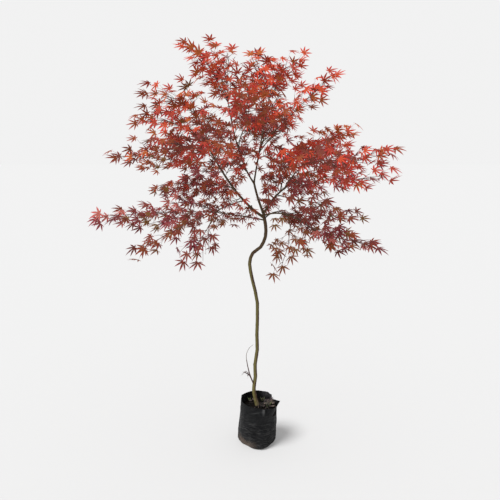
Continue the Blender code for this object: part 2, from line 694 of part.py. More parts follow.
def union(whole, group, solver):
    """The union of an object and a collection, less any loose scrap, as a new mesh, and whether it is closed."""
    modifier = whole.modifiers.new("fuse", "BOOLEAN")
    modifier.operation = "UNION"
    modifier.operand_type = "COLLECTION"
    modifier.collection = group
    modifier.solver = solver
    evaluated = whole.evaluated_get(bpy.context.evaluated_depsgraph_get())
    mesh = bpy.data.meshes.new_from_object(evaluated)
    whole.modifiers.remove(modifier)
    build = bmesh.new()
    build.from_mesh(mesh)
    bodies = sorted(bodies_of(build), key=len)
    scrap = [vert for body in bodies[:-1] for vert in body]
    bmesh.ops.delete(build, geom=scrap, context="VERTS")
    closed = all(edge.is_manifold for edge in build.edges)
    build.to_mesh(mesh)
    build.free()
    return mesh, closed


def fuse(name, pieces):
    """One Boolean union of the pieces, applied, under the given name."""
    whole, others = pieces[0], pieces[1:]
    group = bpy.data.collections.new(name + "_pieces")
    for piece in others:
        bpy.context.scene.collection.objects.unlink(piece)
        group.objects.link(piece)
    bpy.context.scene.collection.children.link(group)
    bpy.context.view_layer.update()
    mesh, sound = union(whole, group, "EXACT")
    if not sound:
        mesh, sound = union(whole, group, "MANIFOLD")
        print(name, "was fused by the second solver:", "sound" if sound else "NOT SOUND")
    whole.data = mesh
    for piece in others:
        bpy.data.objects.remove(piece)
    bpy.data.collections.remove(group)
    whole.name = name
    mesh.name = name


def make_foot_shoot(trunk):
    """The thin shoot with a few small leaves low on the trunk."""
    material = finish("foot_shoot", "foliage")
    route = bent(along(trunk.route, FOOT_SHOOT_AT)[0], Vector(FOOT_SHOOT_ELBOW), Vector(FOOT_SHOOT_END), 3)
    radius_at = lambda share: FOOT_SHOOT_RADII[0] + (FOOT_SHOOT_RADII[1] - FOOT_SHOOT_RADII[0]) * share
    pieces = [add_object("foot_stem", tube(route, radius_at, TWIG_SIDES), material)]
    heading = (route[-1] - route[-2]).normalized()
    side = square_frame(heading)[1]
    for root, outward, drop in (
        (route[-1] - heading * TIP_SINK, heading + side * -0.2, 0.9),
        (along(route, 0.55)[0], side * -1 + heading * 0.3, 1.0),
    ):
        pieces.append(Leaf(root, outward, drop, 0.3, FOOT_LEAF_LENGTH).solid("foot_leaf", material))
    fuse("foot_shoot", pieces)
    trunk.push_back(bpy.data.objects["foot_shoot"])


def main():
    for item in list(bpy.data.objects):
        bpy.data.objects.remove(item)
    make_bag()
    make_compost()
    limbs = make_limbs()
    taken = Taken()
    for limb in limbs.values():
        short_of_tip = limb.route[-2].lerp(limb.route[-1], GUARDED_SHARE)
        taken.add(*surface_of(tube([*limb.route[:-1], short_of_tip], limb.guard, LIMB_SIDES)))
    make_foot_shoot(limbs["trunk"])
    sprays = []
    for seed, (name, bough, tip, half_width, half_depth, arch, pairs) in enumerate(FOLIAGE, FIRST_SEED):
        sprays.append(Spray("foliage_" + name, limbs[bough], tip, half_width, half_depth, arch, pairs, seed))
    leaves = sum(spray.grow(taken, [other for other in sprays if other is not spray]) for spray in sprays)
    print(leaves, "leaves in", len(sprays), "masses")


main()
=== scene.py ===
"""Looks of a young red-leaved maple in a black film grow bag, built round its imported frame.

Metres, +Z up, with the origin under the middle of the bag. The trunk and boughs get their bark. Each mass
of foliage grows again by the frame's own rule, carried to finer twigs and leaves of real size. The bag gets
its wrinkled film, with compost and dead leaves inside.
"""

from __future__ import annotations

import json
import logging
import math
import random
from collections.abc import Callable, Iterator, Sequence
from contextlib import contextmanager
from dataclasses import dataclass, field
from enum import Enum

import bpy
import numpy as np
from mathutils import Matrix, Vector, noise
from mathutils.bvhtree import BVHTree

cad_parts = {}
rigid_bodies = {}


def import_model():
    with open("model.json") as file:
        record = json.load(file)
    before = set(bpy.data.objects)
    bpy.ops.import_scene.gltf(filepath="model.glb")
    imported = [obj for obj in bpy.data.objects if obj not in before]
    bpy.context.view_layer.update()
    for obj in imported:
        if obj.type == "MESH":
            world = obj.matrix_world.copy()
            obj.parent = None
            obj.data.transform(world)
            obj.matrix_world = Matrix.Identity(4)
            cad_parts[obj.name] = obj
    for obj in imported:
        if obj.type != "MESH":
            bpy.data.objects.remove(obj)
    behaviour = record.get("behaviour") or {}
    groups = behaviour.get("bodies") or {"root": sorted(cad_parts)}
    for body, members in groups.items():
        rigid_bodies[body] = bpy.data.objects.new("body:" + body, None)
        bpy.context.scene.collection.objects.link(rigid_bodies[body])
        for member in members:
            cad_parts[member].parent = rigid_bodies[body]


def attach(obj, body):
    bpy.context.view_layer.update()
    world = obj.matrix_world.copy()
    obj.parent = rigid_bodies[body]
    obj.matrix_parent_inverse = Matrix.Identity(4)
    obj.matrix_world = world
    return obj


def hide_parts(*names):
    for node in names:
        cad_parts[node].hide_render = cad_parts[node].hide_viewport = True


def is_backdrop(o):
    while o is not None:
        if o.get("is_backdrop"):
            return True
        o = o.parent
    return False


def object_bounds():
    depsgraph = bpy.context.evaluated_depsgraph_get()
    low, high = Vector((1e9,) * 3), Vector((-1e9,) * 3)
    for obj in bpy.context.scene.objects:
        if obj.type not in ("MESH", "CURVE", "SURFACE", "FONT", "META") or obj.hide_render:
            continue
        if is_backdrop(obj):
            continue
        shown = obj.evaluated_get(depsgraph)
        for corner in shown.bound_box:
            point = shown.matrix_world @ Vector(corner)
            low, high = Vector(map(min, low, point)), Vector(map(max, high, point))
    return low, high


LOG = logging.getLogger("maple")
BODY = "root"
UP = Vector((0, 0, 1))
Route = list[Vector]
Corners = list[Vector]
Faces = list[tuple[int, ...]]
Colour = tuple[float, float, float]
Place = tuple[float, float, float]
Span = tuple[float, float]
Cell = tuple[int, int, int]
Thing = bpy.types.Object
Material = bpy.types.Material
Tree = bpy.types.NodeTree
Node = bpy.types.Node
Socket = bpy.types.NodeSocket
Outputs = bpy.types.bpy_prop_collection


class Slot(Enum):
    """The record's material slots."""

    BARK = "bark"
    FOLIAGE = "foliage"
    FILM = "film"
    COMPOST = "compost"


# -------- routes and tubes

SWAY_SHIFTS = ((0.0, 0.0, 0.0), (31.4, 5.2, 11.7), (7.9, 23.6, 41.3))


def sway(place: Vector) -> Vector:
    """A smooth unsteadiness at a place, the same in every run, with each part from -1 to 1."""
    return Vector([noise.noise(place + Vector(shift)) for shift in SWAY_SHIFTS])


def read_off(spans: Sequence[Span], at: float) -> float:
    """The value at a place, between the rows of a table of places and their values."""
    return float(np.interp(at, *zip(*spans)))


def square_frame(direction: Vector) -> tuple[Vector, Vector, Vector]:
    """Forward, level side and lift vectors, square to each other.

    Args:
        direction: where forward points; it needs no unit length.

    Returns:
        The three unit vectors.
    """
    forward = direction.normalized()
    side = forward.cross(UP)
    if side.length < 1e-3:
        side = Vector((1, 0, 0))
    side.normalize()
    return forward, side, side.cross(forward)


def through(points: Sequence[Vector], steps: int) -> Route:
    """A smooth route through all the points.

    Args:
        points: the bends, in order.
        steps: how many stretches the route has.

    Returns:
        The route, sampled evenly between each pair of points.
    """
    ends = [points[0] * 2 - points[1], *points, points[-1] * 2 - points[-2]]
    pieces = len(points) - 1
    route = []
    for step in range(steps + 1):
        at = step / steps * pieces
        piece = min(int(at), pieces - 1)
        t = at - piece
        a, b, c, d = ends[piece : piece + 4]
        cubic = (3 * b - a - 3 * c + d) * t**3
        route.append(0.5 * ((2 * b) + (c - a) * t + (2 * a - 5 * b + 4 * c - d) * t**2 + cubic))
    return route


def bent(start: Vector, elbow: Vector, end: Vector, steps: int) -> Route:
    """A route of so many steps from start to end, which leans towards the elbow."""
    shares = [step / steps for step in range(steps + 1)]
    return [start * (1 - t) ** 2 + elbow * (2 * t * (1 - t)) + end * t**2 for t in shares]


def length_of(route: Route) -> float:
    """The length of a route."""
    return sum((b - a).length for a, b in zip(route, route[1:]))


def along(route: Route, share: float) -> tuple[Vector, Vector]:
    """A point of a route.

    Args:
        route: the route.
        share: the share of its length that lies before the point.

    Returns:
        The point, and the route's direction there.
    """
    left = share * length_of(route)
    for a, b in zip(route, route[1:]):
        length = (b - a).length
        if left <= length or b is route[-1]:
            return a.lerp(b, min(1.0, left / length)), (b - a).normalized()
        left -= length
    raise ValueError("a share runs from 0 to 1")


def resampled(route: Route, step: float) -> Route:
    """The same route from end to end, with its points evenly spaced at about this step."""
    count = max(2, round(length_of(route) / step))
    return [along(route, index / count)[0] for index in range(count + 1)]


def tube(route: Route, radius_at: Callable[[float], float], sides: int) -> tuple[Corners, Faces]:
    """A closed tube round a route.

    Args:
        route: the tube's middle line.
        radius_at: the radius for a share of the way.
        sides: how many sides the tube has.

    Returns:
        Its corners and its faces.
    """
    turn = square_frame(route[1] - route[0])[1]
    corners: Corners = []
    faces: Faces = []
    last = len(route) - 1
    for index, centre in enumerate(route):
        forward = (route[min(index + 1, last)] - route[max(index - 1, 0)]).normalized()
        turn = (turn - forward * turn.dot(forward)).normalized()
        across = forward.cross(turn)
        radius = radius_at(index / last)
        for corner in range(sides):
            angle = 2 * math.pi * corner / sides
            corners.append(centre + (turn * math.cos(angle) + across * math.sin(angle)) * radius)
    for low in range(0, last * sides, sides):
        for corner in range(sides):
            following = (corner + 1) % sides
            faces.append((low + corner, low + following, low + sides + following, low + sides + corner))
    faces.append(tuple(reversed(range(sides))))
    faces.append(tuple(range(last * sides, (last + 1) * sides)))
    return corners, faces


# -------- pieces


def dress(piece: Thing, nodes: Sequence[str] = ()) -> Thing:
    """Puts a finished piece on the plant's body.

    Args:
        piece: the piece.
        nodes: the frame's nodes that it stands for.

    Returns:
        The same piece.
    """
    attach(piece, BODY)
    if nodes:
        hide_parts(*nodes)
    LOG.info("%s: %d faces", piece.name, len(piece.data.polygons))
    return piece


def apply_modifier(piece: Thing, kind: str, **values: object) -> None:
    """Adds a modifier to a piece and applies it.

    Args:
        piece: the piece, which becomes the active one.
        kind: the modifier's type.
        values: its settings.
    """
    bpy.context.view_layer.objects.active = piece
    modifier = piece.modifiers.new(kind.title(), kind)
    for name, value in values.items():
        setattr(modifier, name, value)
    bpy.ops.object.modifier_apply(modifier=modifier.name)


@contextmanager
def edited() -> Iterator[None]:
    """Keeps the active piece in edit mode for as long as the block lasts.

    Yields:
        Nothing.
    """
    bpy.ops.object.mode_set(mode="EDIT")
    yield
    bpy.ops.object.mode_set(mode="OBJECT")


def turn_outward() -> None:
    """Turns the active piece's faces outward and shades them smooth."""
    with edited():
        bpy.ops.mesh.select_all(action="SELECT")
        bpy.ops.mesh.normals_make_consistent(inside=False)
    bpy.ops.object.shade_smooth()


@dataclass
class Pile:
    """Many small things on their way to one joined mesh."""

    corners: Corners = field(default_factory=list)
    faces: Faces = field(default_factory=list)
    finishes: list[int] = field(default_factory=list)

    def add(self, corners: Corners | np.ndarray, faces: Faces, finish: int | list[int] = 0) -> None:
        """Adds one thing.

        Args:
            corners: its corners.
            faces: its faces, which count its own corners.
            finish: the number of its material, or one for each face.
        """
        first = len(self.corners)
        self.corners.extend(Vector(corner) for corner in corners)
        self.faces.extend(tuple(first + index for index in face) for face in faces)
        self.finishes.extend([finish] * len(faces) if isinstance(finish, int) else finish)

    def build(self, name: str, materials: Sequence[Material], smooth: bool = True) -> Thing:
        """The joined mesh as an object.

        Args:
            name: the piece's name.
            materials: its materials, in the order that finishes count them.
            smooth: whether its faces are shaded smooth.

        Returns:
            The object, at the origin.
        """
        mesh = bpy.data.meshes.new(name)
        mesh.from_pydata([corner[:] for corner in self.corners], [], self.faces)
        for material in materials:
            mesh.materials.append(material)
        mesh.polygons.foreach_set("material_index", self.finishes)
        mesh.polygons.foreach_set("use_smooth", [smooth] * len(self.faces))
        mesh.update()
        piece = bpy.data.objects.new(name, mesh)
        bpy.context.scene.collection.objects.link(piece)
        return piece


# -------- materials


def socket(group: Tree, name: str, way: str, kind: str) -> None:
    """Adds a named socket, INPUT or OUTPUT and Float or Vector, to a node group."""
    group.interface.new_socket(name=name, in_out=way, socket_type="NodeSocket" + kind)


def link(tree: Tree, source: Socket, target: Socket) -> None:
    """Links two sockets of a node tree."""
    tree.links.new(source, target)


def grain_group() -> Tree:
    """The shared node group for uneven surfaces: soft patches, fine grain and rare specks.

    Returns:
        A group with the outputs Patches, Grain and Specks, each from 0 to 1.
    """
    group = bpy.data.node_groups.get("uneven_surface")
    if group:
        return group
    group = bpy.data.node_groups.new("uneven_surface", "ShaderNodeTree")
    socket(group, "Place", "INPUT", "Vector")
    for name in ("Patch Scale", "Grain Scale", "Speck Share"):
        socket(group, name, "INPUT", "Float")
    for name in ("Patches", "Grain", "Specks"):
        socket(group, name, "OUTPUT", "Float")
    start = group.nodes.new("NodeGroupInput")
    end = group.nodes.new("NodeGroupOutput")
    for name, scale, detail in (("Patches", "Patch Scale", 3.0), ("Grain", "Grain Scale", 4.0)):
        cloud = group.nodes.new("ShaderNodeTexNoise")
        cloud.inputs["Detail"].default_value = detail
        link(group, start.outputs["Place"], cloud.inputs["Vector"])
        link(group, start.outputs[scale], cloud.inputs["Scale"])
        spread = group.nodes.new("ShaderNodeMapRange")
        spread.inputs["From Min"].default_value = 0.3
        spread.inputs["From Max"].default_value = 0.7
        link(group, cloud.outputs["Fac"], spread.inputs["Value"])
        link(group, spread.outputs["Result"], end.inputs[name])
    cells = group.nodes.new("ShaderNodeTexVoronoi")
    link(group, start.outputs["Place"], cells.inputs["Vector"])
    link(group, start.outputs["Grain Scale"], cells.inputs["Scale"])
    fewer = group.nodes.new("ShaderNodeMath")
    fewer.operation = "LESS_THAN"
    link(group, cells.outputs["Distance"], fewer.inputs[0])
    link(group, start.outputs["Speck Share"], fewer.inputs[1])
    link(group, fewer.outputs["Value"], end.inputs["Specks"])
    return group


@dataclass
class Shading:
    """A material under construction: its tree, its shader and the coordinates that its patterns read."""

    name: str
    tree: Tree = field(init=False)
    shader: bpy.types.ShaderNode = field(init=False)
    place: Socket = field(init=False)
    material: Material = field(init=False)

    def __post_init__(self) -> None:
        """Starts the material."""
        self.material = bpy.data.materials.new(self.name)
        self.material.use_nodes = True
        self.tree = self.material.node_tree
        self.shader = self.tree.nodes["Principled BSDF"]
        self.place = self.tree.nodes.new("ShaderNodeTexCoord").outputs["Object"]

    def node(self, kind: str, **values: object) -> Node:
        """Adds a node.

        Args:
            kind: the node's type, without its Shader Node prefix.
            values: settings of the node, and values of its inputs by their name with _ for a blank.

        Returns:
            The node.
        """
        made = self.tree.nodes.new("ShaderNode" + kind)
        for name, value in values.items():
            if hasattr(made, name):
                setattr(made, name, value)
            else:
                made.inputs[name.replace("_", " ")].default_value = value
        return made

    def uneven(self, patch_scale: float, grain_scale: float, speck_share: float) -> Node:
        """The shared uneven-surface group on this material's coordinates.

        Args:
            patch_scale: how many soft patches a metre has.
            grain_scale: how many grains a metre has.
            speck_share: how large the specks are, against the grains.

        Returns:
            The group's node, with the outputs Patches, Grain and Specks.
        """
        made = self.tree.nodes.new("ShaderNodeGroup")
        made.node_tree = grain_group()
        made.inputs["Patch Scale"].default_value = patch_scale
        made.inputs["Grain Scale"].default_value = grain_scale
        made.inputs["Speck Share"].default_value = speck_share
        link(self.tree, self.place, made.inputs["Place"])
        return made

    def blend(self, share: Socket, low: object, high: object) -> Socket:
        """A colour that runs from low to high with share; either is a colour or another socket.

        Args:
            share: the mask that blends them.
            low: the colour where it is 0.
            high: the colour where it is 1.

        Returns:
            The blended colour's socket.
        """
        mix = self.tree.nodes.new("ShaderNodeMix")
        mix.data_type = "RGBA"
        link(self.tree, share, mix.inputs["Factor"])
        for colour, target in ((low, mix.inputs[6]), (high, mix.inputs[7])):
            if isinstance(colour, Socket):
                link(self.tree, colour, target)
            else:
                target.default_value = (*colour, 1.0)
        return mix.outputs[2]

    def mapped(self, value: Socket, **ends: float) -> Socket:
        """A value brought from one range to another; either runs from 0 to 1 unless it is given.

        Args:
            value: the value.
            ends: the ranges' ends.

        Returns:
            The new value's socket.
        """
        made = self.node("MapRange", **ends)
        link(self.tree, value, made.inputs["Value"])
        return made.outputs["Result"]

    def ranged(self, value: Socket, low: float, high: float) -> Socket:
        """A mask from 0 to 1 brought to run from low to high."""
        return self.mapped(value, To_Min=low, To_Max=high)

    def window(self, value: Socket, low: float, high: float) -> Socket:
        """A mask that rises from 0 at low to 1 at high."""
        return self.mapped(value, From_Min=low, From_Max=high)

    def math(self, operation: str, a: Socket, b: Socket | float) -> Socket:
        """A sum, product or the like.

        Args:
            operation: the Math node's operation.
            a: its first value.
            b: its second value, from a socket or as a number.

        Returns:
            The result's socket.
        """
        made = self.tree.nodes.new("ShaderNodeMath")
        made.operation = operation
        link(self.tree, a, made.inputs[0])
        if isinstance(b, Socket):
            link(self.tree, b, made.inputs[1])
        else:
            made.inputs[1].default_value = b
        return made.outputs["Value"]

    def times(self, a: Socket, b: Socket | float) -> Socket:
        """The product of a socket and another socket or number."""
        return self.math("MULTIPLY", a, b)

    def parts(self, vector: Socket) -> Outputs:
        """A vector's three parts.

        Args:
            vector: the vector.

        Returns:
            The sockets X, Y and Z.
        """
        made = self.node("SeparateXYZ")
        link(self.tree, vector, made.inputs["Vector"])
        return made.outputs

    def streaks(self, scale: Place, **values: float) -> Socket:
        """Noise that is drawn out along some axes.

        Args:
            scale: its scale along each axis.
            values: the noise's other settings.

        Returns:
            The noise's socket, from 0 to 1.
        """
        spread = self.node("Mapping", Scale=scale)
        link(self.tree, self.place, spread.inputs["Vector"])
        made = self.node("TexNoise", Scale=1.0, **values)
        link(self.tree, spread.outputs["Vector"], made.inputs["Vector"])
        return made.outputs["Fac"]

    def set(self, **values: float | Colour) -> None:
        """Sets plain values on the shader.

        Args:
            values: the values by their input's name with _ for a blank; a colour has three parts.
        """
        for name, value in values.items():
            plain = (*value, 1.0) if isinstance(value, tuple) else value
            self.shader.inputs[name.replace("_", " ")].default_value = plain

    def feed(self, source: Socket, target: str) -> None:
        """Links a socket to an input of the shader."""
        link(self.tree, source, self.shader.inputs[target])

    def bump(self, height: Socket, distance: float, strength: float = 1.0) -> None:
        """Feeds a height to the shader's normal.

        Args:
            height: the height, from 0 to 1.
            distance: how high 1 stands, in metres.
            strength: how much of it shows.
        """
        made = self.node("Bump", Distance=distance, Strength=strength)
        link(self.tree, height, made.inputs["Height"])
        self.feed(made.outputs["Normal"], "Normal")


LEAF_SHINE = 0.08


class Tint(Enum):
    """The autumn tints: the colour of a leaf's lobes and of its heart, and how rough it is."""

    SCARLET = ((0.54, 0.046, 0.030), (0.50, 0.072, 0.030), 0.65)
    FLAME = ((0.50, 0.072, 0.030), (0.42, 0.106, 0.031), 0.65)
    CRIMSON = ((0.42, 0.036, 0.032), (0.37, 0.052, 0.030), 0.65)
    RUSSET = ((0.31, 0.047, 0.028), (0.27, 0.066, 0.028), 0.65)
    BURGUNDY = ((0.205, 0.034, 0.033), (0.180, 0.046, 0.031), 0.60)
    WINE = ((0.245, 0.038, 0.052), (0.215, 0.048, 0.046), 0.60)
    PLUM = ((0.175, 0.024, 0.036), (0.150, 0.030, 0.032), 0.50)
    UMBER = ((0.225, 0.052, 0.027), (0.195, 0.068, 0.027), 0.55)
    BRONZE = ((0.250, 0.078, 0.032), (0.215, 0.104, 0.034), 0.55)
    ROSE = ((0.46, 0.110, 0.105), (0.42, 0.118, 0.095), 0.55)

    def materials(self) -> tuple[Material, Material]:
        """Makes the two plain materials of this tint.

        Returns:
            The material of the lobes and the one of the heart.
        """
        lobe, heart, roughness = self.value
        made = []
        for part, colour in (("lobe", lobe), ("heart", heart)):
            look = Shading(f"leaf_{self.name.lower()}_{part}")
            look.set(Base_Color=colour, Roughness=roughness, Specular_IOR_Level=LEAF_SHINE)
            made.append(look.material)
        return made[0], made[1]


class Palette(Enum):
    """What a mass of foliage is tinted with: its tints and how often each one comes."""

    TOP = ((Tint.SCARLET, 5), (Tint.FLAME, 4), (Tint.CRIMSON, 2), (Tint.RUSSET, 1))
    TOP_BACK = ((Tint.CRIMSON, 4), (Tint.SCARLET, 3), (Tint.RUSSET, 2))
    RUST = ((Tint.FLAME, 4), (Tint.SCARLET, 2), (Tint.RUSSET, 3), (Tint.CRIMSON, 2), (Tint.BRONZE, 1))
    DULL_RUST = ((Tint.RUSSET, 5), (Tint.FLAME, 2), (Tint.BRONZE, 3), (Tint.BURGUNDY, 2))
    RIGHT = ((Tint.CRIMSON, 6), (Tint.SCARLET, 3), (Tint.WINE, 3), (Tint.FLAME, 1))
    BRIGHT = ((Tint.SCARLET, 7), (Tint.FLAME, 2), (Tint.CRIMSON, 2))
    MIDDLE = ((Tint.CRIMSON, 4), (Tint.RUSSET, 4), (Tint.BURGUNDY, 3), (Tint.SCARLET, 1))
    FRONT = ((Tint.CRIMSON, 6), (Tint.RUSSET, 4), (Tint.SCARLET, 2), (Tint.FLAME, 1))
    # The darker palettes for masses deep in, behind and under the crown (DARK, LOW, DROP_LEFT) are partly
    # the leaves' own colour and partly painted shade.
    DARK = ((Tint.BURGUNDY, 4), (Tint.WINE, 2), (Tint.RUSSET, 3), (Tint.CRIMSON, 1))
    FADED = ((Tint.ROSE, 2), (Tint.WINE, 4), (Tint.RUSSET, 3), (Tint.BRONZE, 2), (Tint.BURGUNDY, 1))
    LOW = ((Tint.BURGUNDY, 5), (Tint.UMBER, 4), (Tint.RUSSET, 2), (Tint.WINE, 1))
    DROP_LEFT = ((Tint.PLUM, 6), (Tint.BURGUNDY, 3), (Tint.UMBER, 1))
    DROP_RIGHT = ((Tint.UMBER, 8), (Tint.BRONZE, 2), (Tint.RUSSET, 1))

    def draw(self, seeded: random.Random) -> Tint:
        """One tint, drawn by weight."""
        tints, weights = zip(*self.value)
        return seeded.choices(tints, weights)[0]


@dataclass(frozen=True)
class BarkFinish:
    """Smooth young bark: olive, turning darker red-brown on the side that looks right, away from the plant
    lamp, where the brown is partly the bark's own and partly painted shade.
    """

    olive: Colour = (0.100, 0.086, 0.024)
    pale: Colour = (0.175, 0.150, 0.054)
    brown: Colour = (0.056, 0.027, 0.017)
    foot: Colour = (0.29, 0.24, 0.13)
    streak_scale: Place = (330.0, 330.0, 26.0)
    right_side_brown_and_shade: Span = (0.05, 0.70)  # how far a face looks right where the brown, partly own colour and partly painted shade, begins and is full
    brown_above: Span = (0.93, 1.02)
    foot_below: Span = (0.245, 0.20)
    relief: float = 0.0006

    def build(self) -> Material:
        """Builds the material.

        Returns:
            The material.
        """
        look = Shading("bark")
        rough = look.uneven(18.0, 420.0, 0.18).outputs
        streaks = look.streaks(self.streak_scale, Detail=4.0)
        base = look.blend(look.window(streaks, 0.35, 0.75), self.olive, self.pale)
        # Painted shade: faces that look right, away from the plant lamp, turn darker red-brown, partly the
        # bark's own colour.
        facing = look.parts(look.node("NewGeometry").outputs["Normal"])["X"]
        right_side_brown_and_shade = look.math("ADD", facing, look.ranged(rough["Patches"], -0.45, 0.45))
        base = look.blend(look.window(right_side_brown_and_shade, *self.right_side_brown_and_shade), base, self.brown)
        height = look.parts(look.place)["Z"]
        wavy = look.math("ADD", height, look.ranged(rough["Patches"], -0.05, 0.05))
        base = look.blend(look.times(look.window(wavy, *self.brown_above), 0.75), base, self.brown)
        base = look.blend(look.times(look.window(wavy, *self.foot_below), 0.8), base, self.foot)
        base = look.blend(look.times(rough["Specks"], 0.5), base, self.brown)
        look.feed(base, "Base Color")
        look.feed(look.ranged(rough["Grain"], 0.6, 0.85), "Roughness")
        look.set(Specular_IOR_Level=0.25)
        relief = look.math("ADD", streaks, look.ranged(rough["Grain"], 0.0, 0.4))
        look.bump(relief, self.relief, 0.8)
        return look.material


@dataclass(frozen=True)
class TwigFinish:
    """Thin young wood, plain in colour, because its pieces are joined by the hundred."""

    name: str
    colour: Colour
    roughness: float = 0.6

    def build(self) -> Material:
        """Builds the material.

        Returns:
            The material.
        """
        look = Shading(self.name)
        look.set(Base_Color=self.colour, Roughness=self.roughness)
        return look.material


@dataclass(frozen=True)
class FilmFinish:
    """Black polythene film: a satin sheen, fine level creases, dust, soil along its bottom fold, painted
    highlights on its creases and ridges, and painted light and shade inside.
    """

    film: Colour = (0.0022, 0.0024, 0.0030)
    worn: Colour = (0.0058, 0.0064, 0.0076)
    # Painted highlight on the creases.
    crease_highlight: Colour = (0.092, 0.091, 0.089)
    # Painted light on the inner right wall.
    inside: Colour = (0.090, 0.090, 0.092)
    # Painted shade on the inner left wall.
    dark: Colour = (0.0006, 0.0006, 0.0007)
    # Painted highlight on the ridges.
    ridge: Colour = (0.085, 0.085, 0.086)
    soil: Colour = (0.175, 0.135, 0.108)
    dust: Colour = (0.26, 0.25, 0.23)
    crease_scale: Place = (30.0, 30.0, 330.0)
    inner_above: Span = (0.20, 0.22)  # above and behind these the film shows its inner side: painted light on the right, painted shade on the left
    inner_behind: Span = (0.02, 0.06)
    lit_right_of: Span = (0.010, 0.050)
    fold_slope: float = -0.16  # of the bottom fold, which the soil follows
    soil_below: Span = (0.044, 0.020)
    relief: float = 0.008

    def build(self) -> Material:
        """Builds the material.

        Returns:
            The material.
        """
        look = Shading("film")
        rough = look.uneven(30.0, 300.0, 0.13).outputs
        place = look.parts(look.place)
        creases = look.streaks(self.crease_scale, Detail=3.0, Roughness=0.6, Distortion=0.3)
        base = look.blend(rough["Patches"], self.film, self.worn)
        above = look.window(place["Z"], *self.inner_above)
        inner = look.times(above, look.window(place["Y"], *self.inner_behind))
        # Painted light on the inner right wall, in patches.
        lit = look.times(inner, look.window(place["X"], *self.lit_right_of))
        base = look.blend(look.times(lit, rough["Patches"]), base, self.inside)
        # Painted shade on the inner left wall, which is also made matt below.
        shaded_inner_left = look.math("SUBTRACT", inner, lit)
        base = look.blend(shaded_inner_left, base, self.dark)
        # Painted highlight on the ridges: the tuck, the fold and the creases, from the heights that the bag
        # stores.
        ridge_highlight_mask = look.node("Attribute", attribute_name="worn").outputs["Fac"]
        base = look.blend(look.window(ridge_highlight_mask, 0.10, 1.6), base, self.ridge)
        # Painted highlight on the creases.
        base = look.blend(self.crease_highlight_mask(look, creases, place["Z"], rough["Patches"]), base, self.crease_highlight)
        stained = self.stain(look, place, rough)
        base = look.blend(stained, base, self.soil)
        specks = look.times(rough["Specks"], look.window(place["Z"], 0.13, 0.02))
        dusty = look.times(look.times(specks, rough["Patches"]), 0.7)
        look.feed(look.blend(dusty, base, self.dust), "Base Color")
        look.set(Specular_IOR_Level=0.12)
        sheen = look.ranged(rough["Patches"], 0.42, 0.62)
        matt = look.ranged(look.math("MAXIMUM", shaded_inner_left, stained), 0.0, 0.95)
        look.feed(look.math("MAXIMUM", sheen, matt), "Roughness")
        look.bump(look.math("ADD", creases, look.ranged(rough["Grain"], 0.0, 0.2)), self.relief)
        return look.material

    def crease_highlight_mask(self, look: Shading, creases: Socket, height: Socket, patches: Socket) -> Socket:
        """Where the creases get a painted highlight: most of all low on the bag, and in patches.

        Args:
            look: the material.
            creases: the creases' own noise.
            height: over the ground.
            patches: the soft patches.

        Returns:
            A mask.
        """
        low = look.ranged(look.window(height, 0.20, 0.10), 0.25, 1.0)
        found = look.times(look.window(creases, 0.48, 0.74), low)
        return look.times(found, look.ranged(patches, 0.35, 1.0))

    def stain(self, look: Shading, place: Outputs, rough: Outputs) -> Socket:
        """Where soil sticks to the film: over the bottom fold at the front left.

        Args:
            look: the material.
            place: the coordinates' parts.
            rough: the outputs of the uneven surface.

        Returns:
            A mask.
        """
        straight = look.math("SUBTRACT", place["Z"], look.times(place["X"], self.fold_slope))
        level = look.math("ADD", straight, look.ranged(rough["Patches"], -0.014, 0.014))
        front = look.window(place["Y"], 0.03, -0.03)
        corner = look.times(front, look.window(place["X"], 0.010, -0.045))
        stained = look.times(look.window(level, *self.soil_below), corner)
        return look.times(stained, look.ranged(rough["Grain"], 0.15, 1.0))


@dataclass(frozen=True)
class SoilFinish:
    """Dark crumbly compost with pale bits of bark; its near-black tone is partly its own and partly painted
    shade inside the bag.
    """

    dark: Colour = (0.0015, 0.0012, 0.001)
    brown: Colour = (0.006, 0.004, 0.003)
    bits: Colour = (0.10, 0.075, 0.05)

    def build(self) -> Material:
        """Builds the material.

        Returns:
            The material.
        """
        look = Shading("compost")
        rough = look.uneven(70.0, 330.0, 0.2).outputs
        base = look.blend(rough["Grain"], self.dark, self.brown)
        pale = look.times(rough["Specks"], look.window(rough["Patches"], 0.6, 0.9))
        look.feed(look.blend(pale, base, self.bits), "Base Color")
        look.set(Roughness=0.95, Specular_IOR_Level=0.1)
        look.bump(rough["Grain"], 0.0015)
        return look.material


# -------- trunk and boughs

CLEARANCE = 0.0003
COMPOST_TOP = 0.200
# Trunk: height, lean to the right, lean to the back
TRUNK_BENDS = (
    *((COMPOST_TOP + CLEARANCE, 0.003, 0.0), (0.27, -0.013, 0.004), (0.312, -0.012, 0.006)),
    *((0.355, -0.006, 0.008), (0.42, -0.008, 0.009), (0.5, 0.003, 0.006)),
    *((0.58, 0.001, 0.004), (0.75, 0.003, -0.006), (0.865, -0.021, -0.008)),
    *((0.95, -0.036, -0.002), (1.003, -0.02, 0.004), (1.032, 0.018, 0.006)),
    *((1.085, 0.042, 0.004), (1.145, 0.042, 0.0), (1.206, 0.03, 0.0)),
)
TRUNK_RADII = ((0.0, 0.0108), (0.05, 0.0098), (0.16, 0.0092), (0.5, 0.0084), (0.96, 0.0082), (1.0, 0.0064))
TRUNK_STEPS = 28

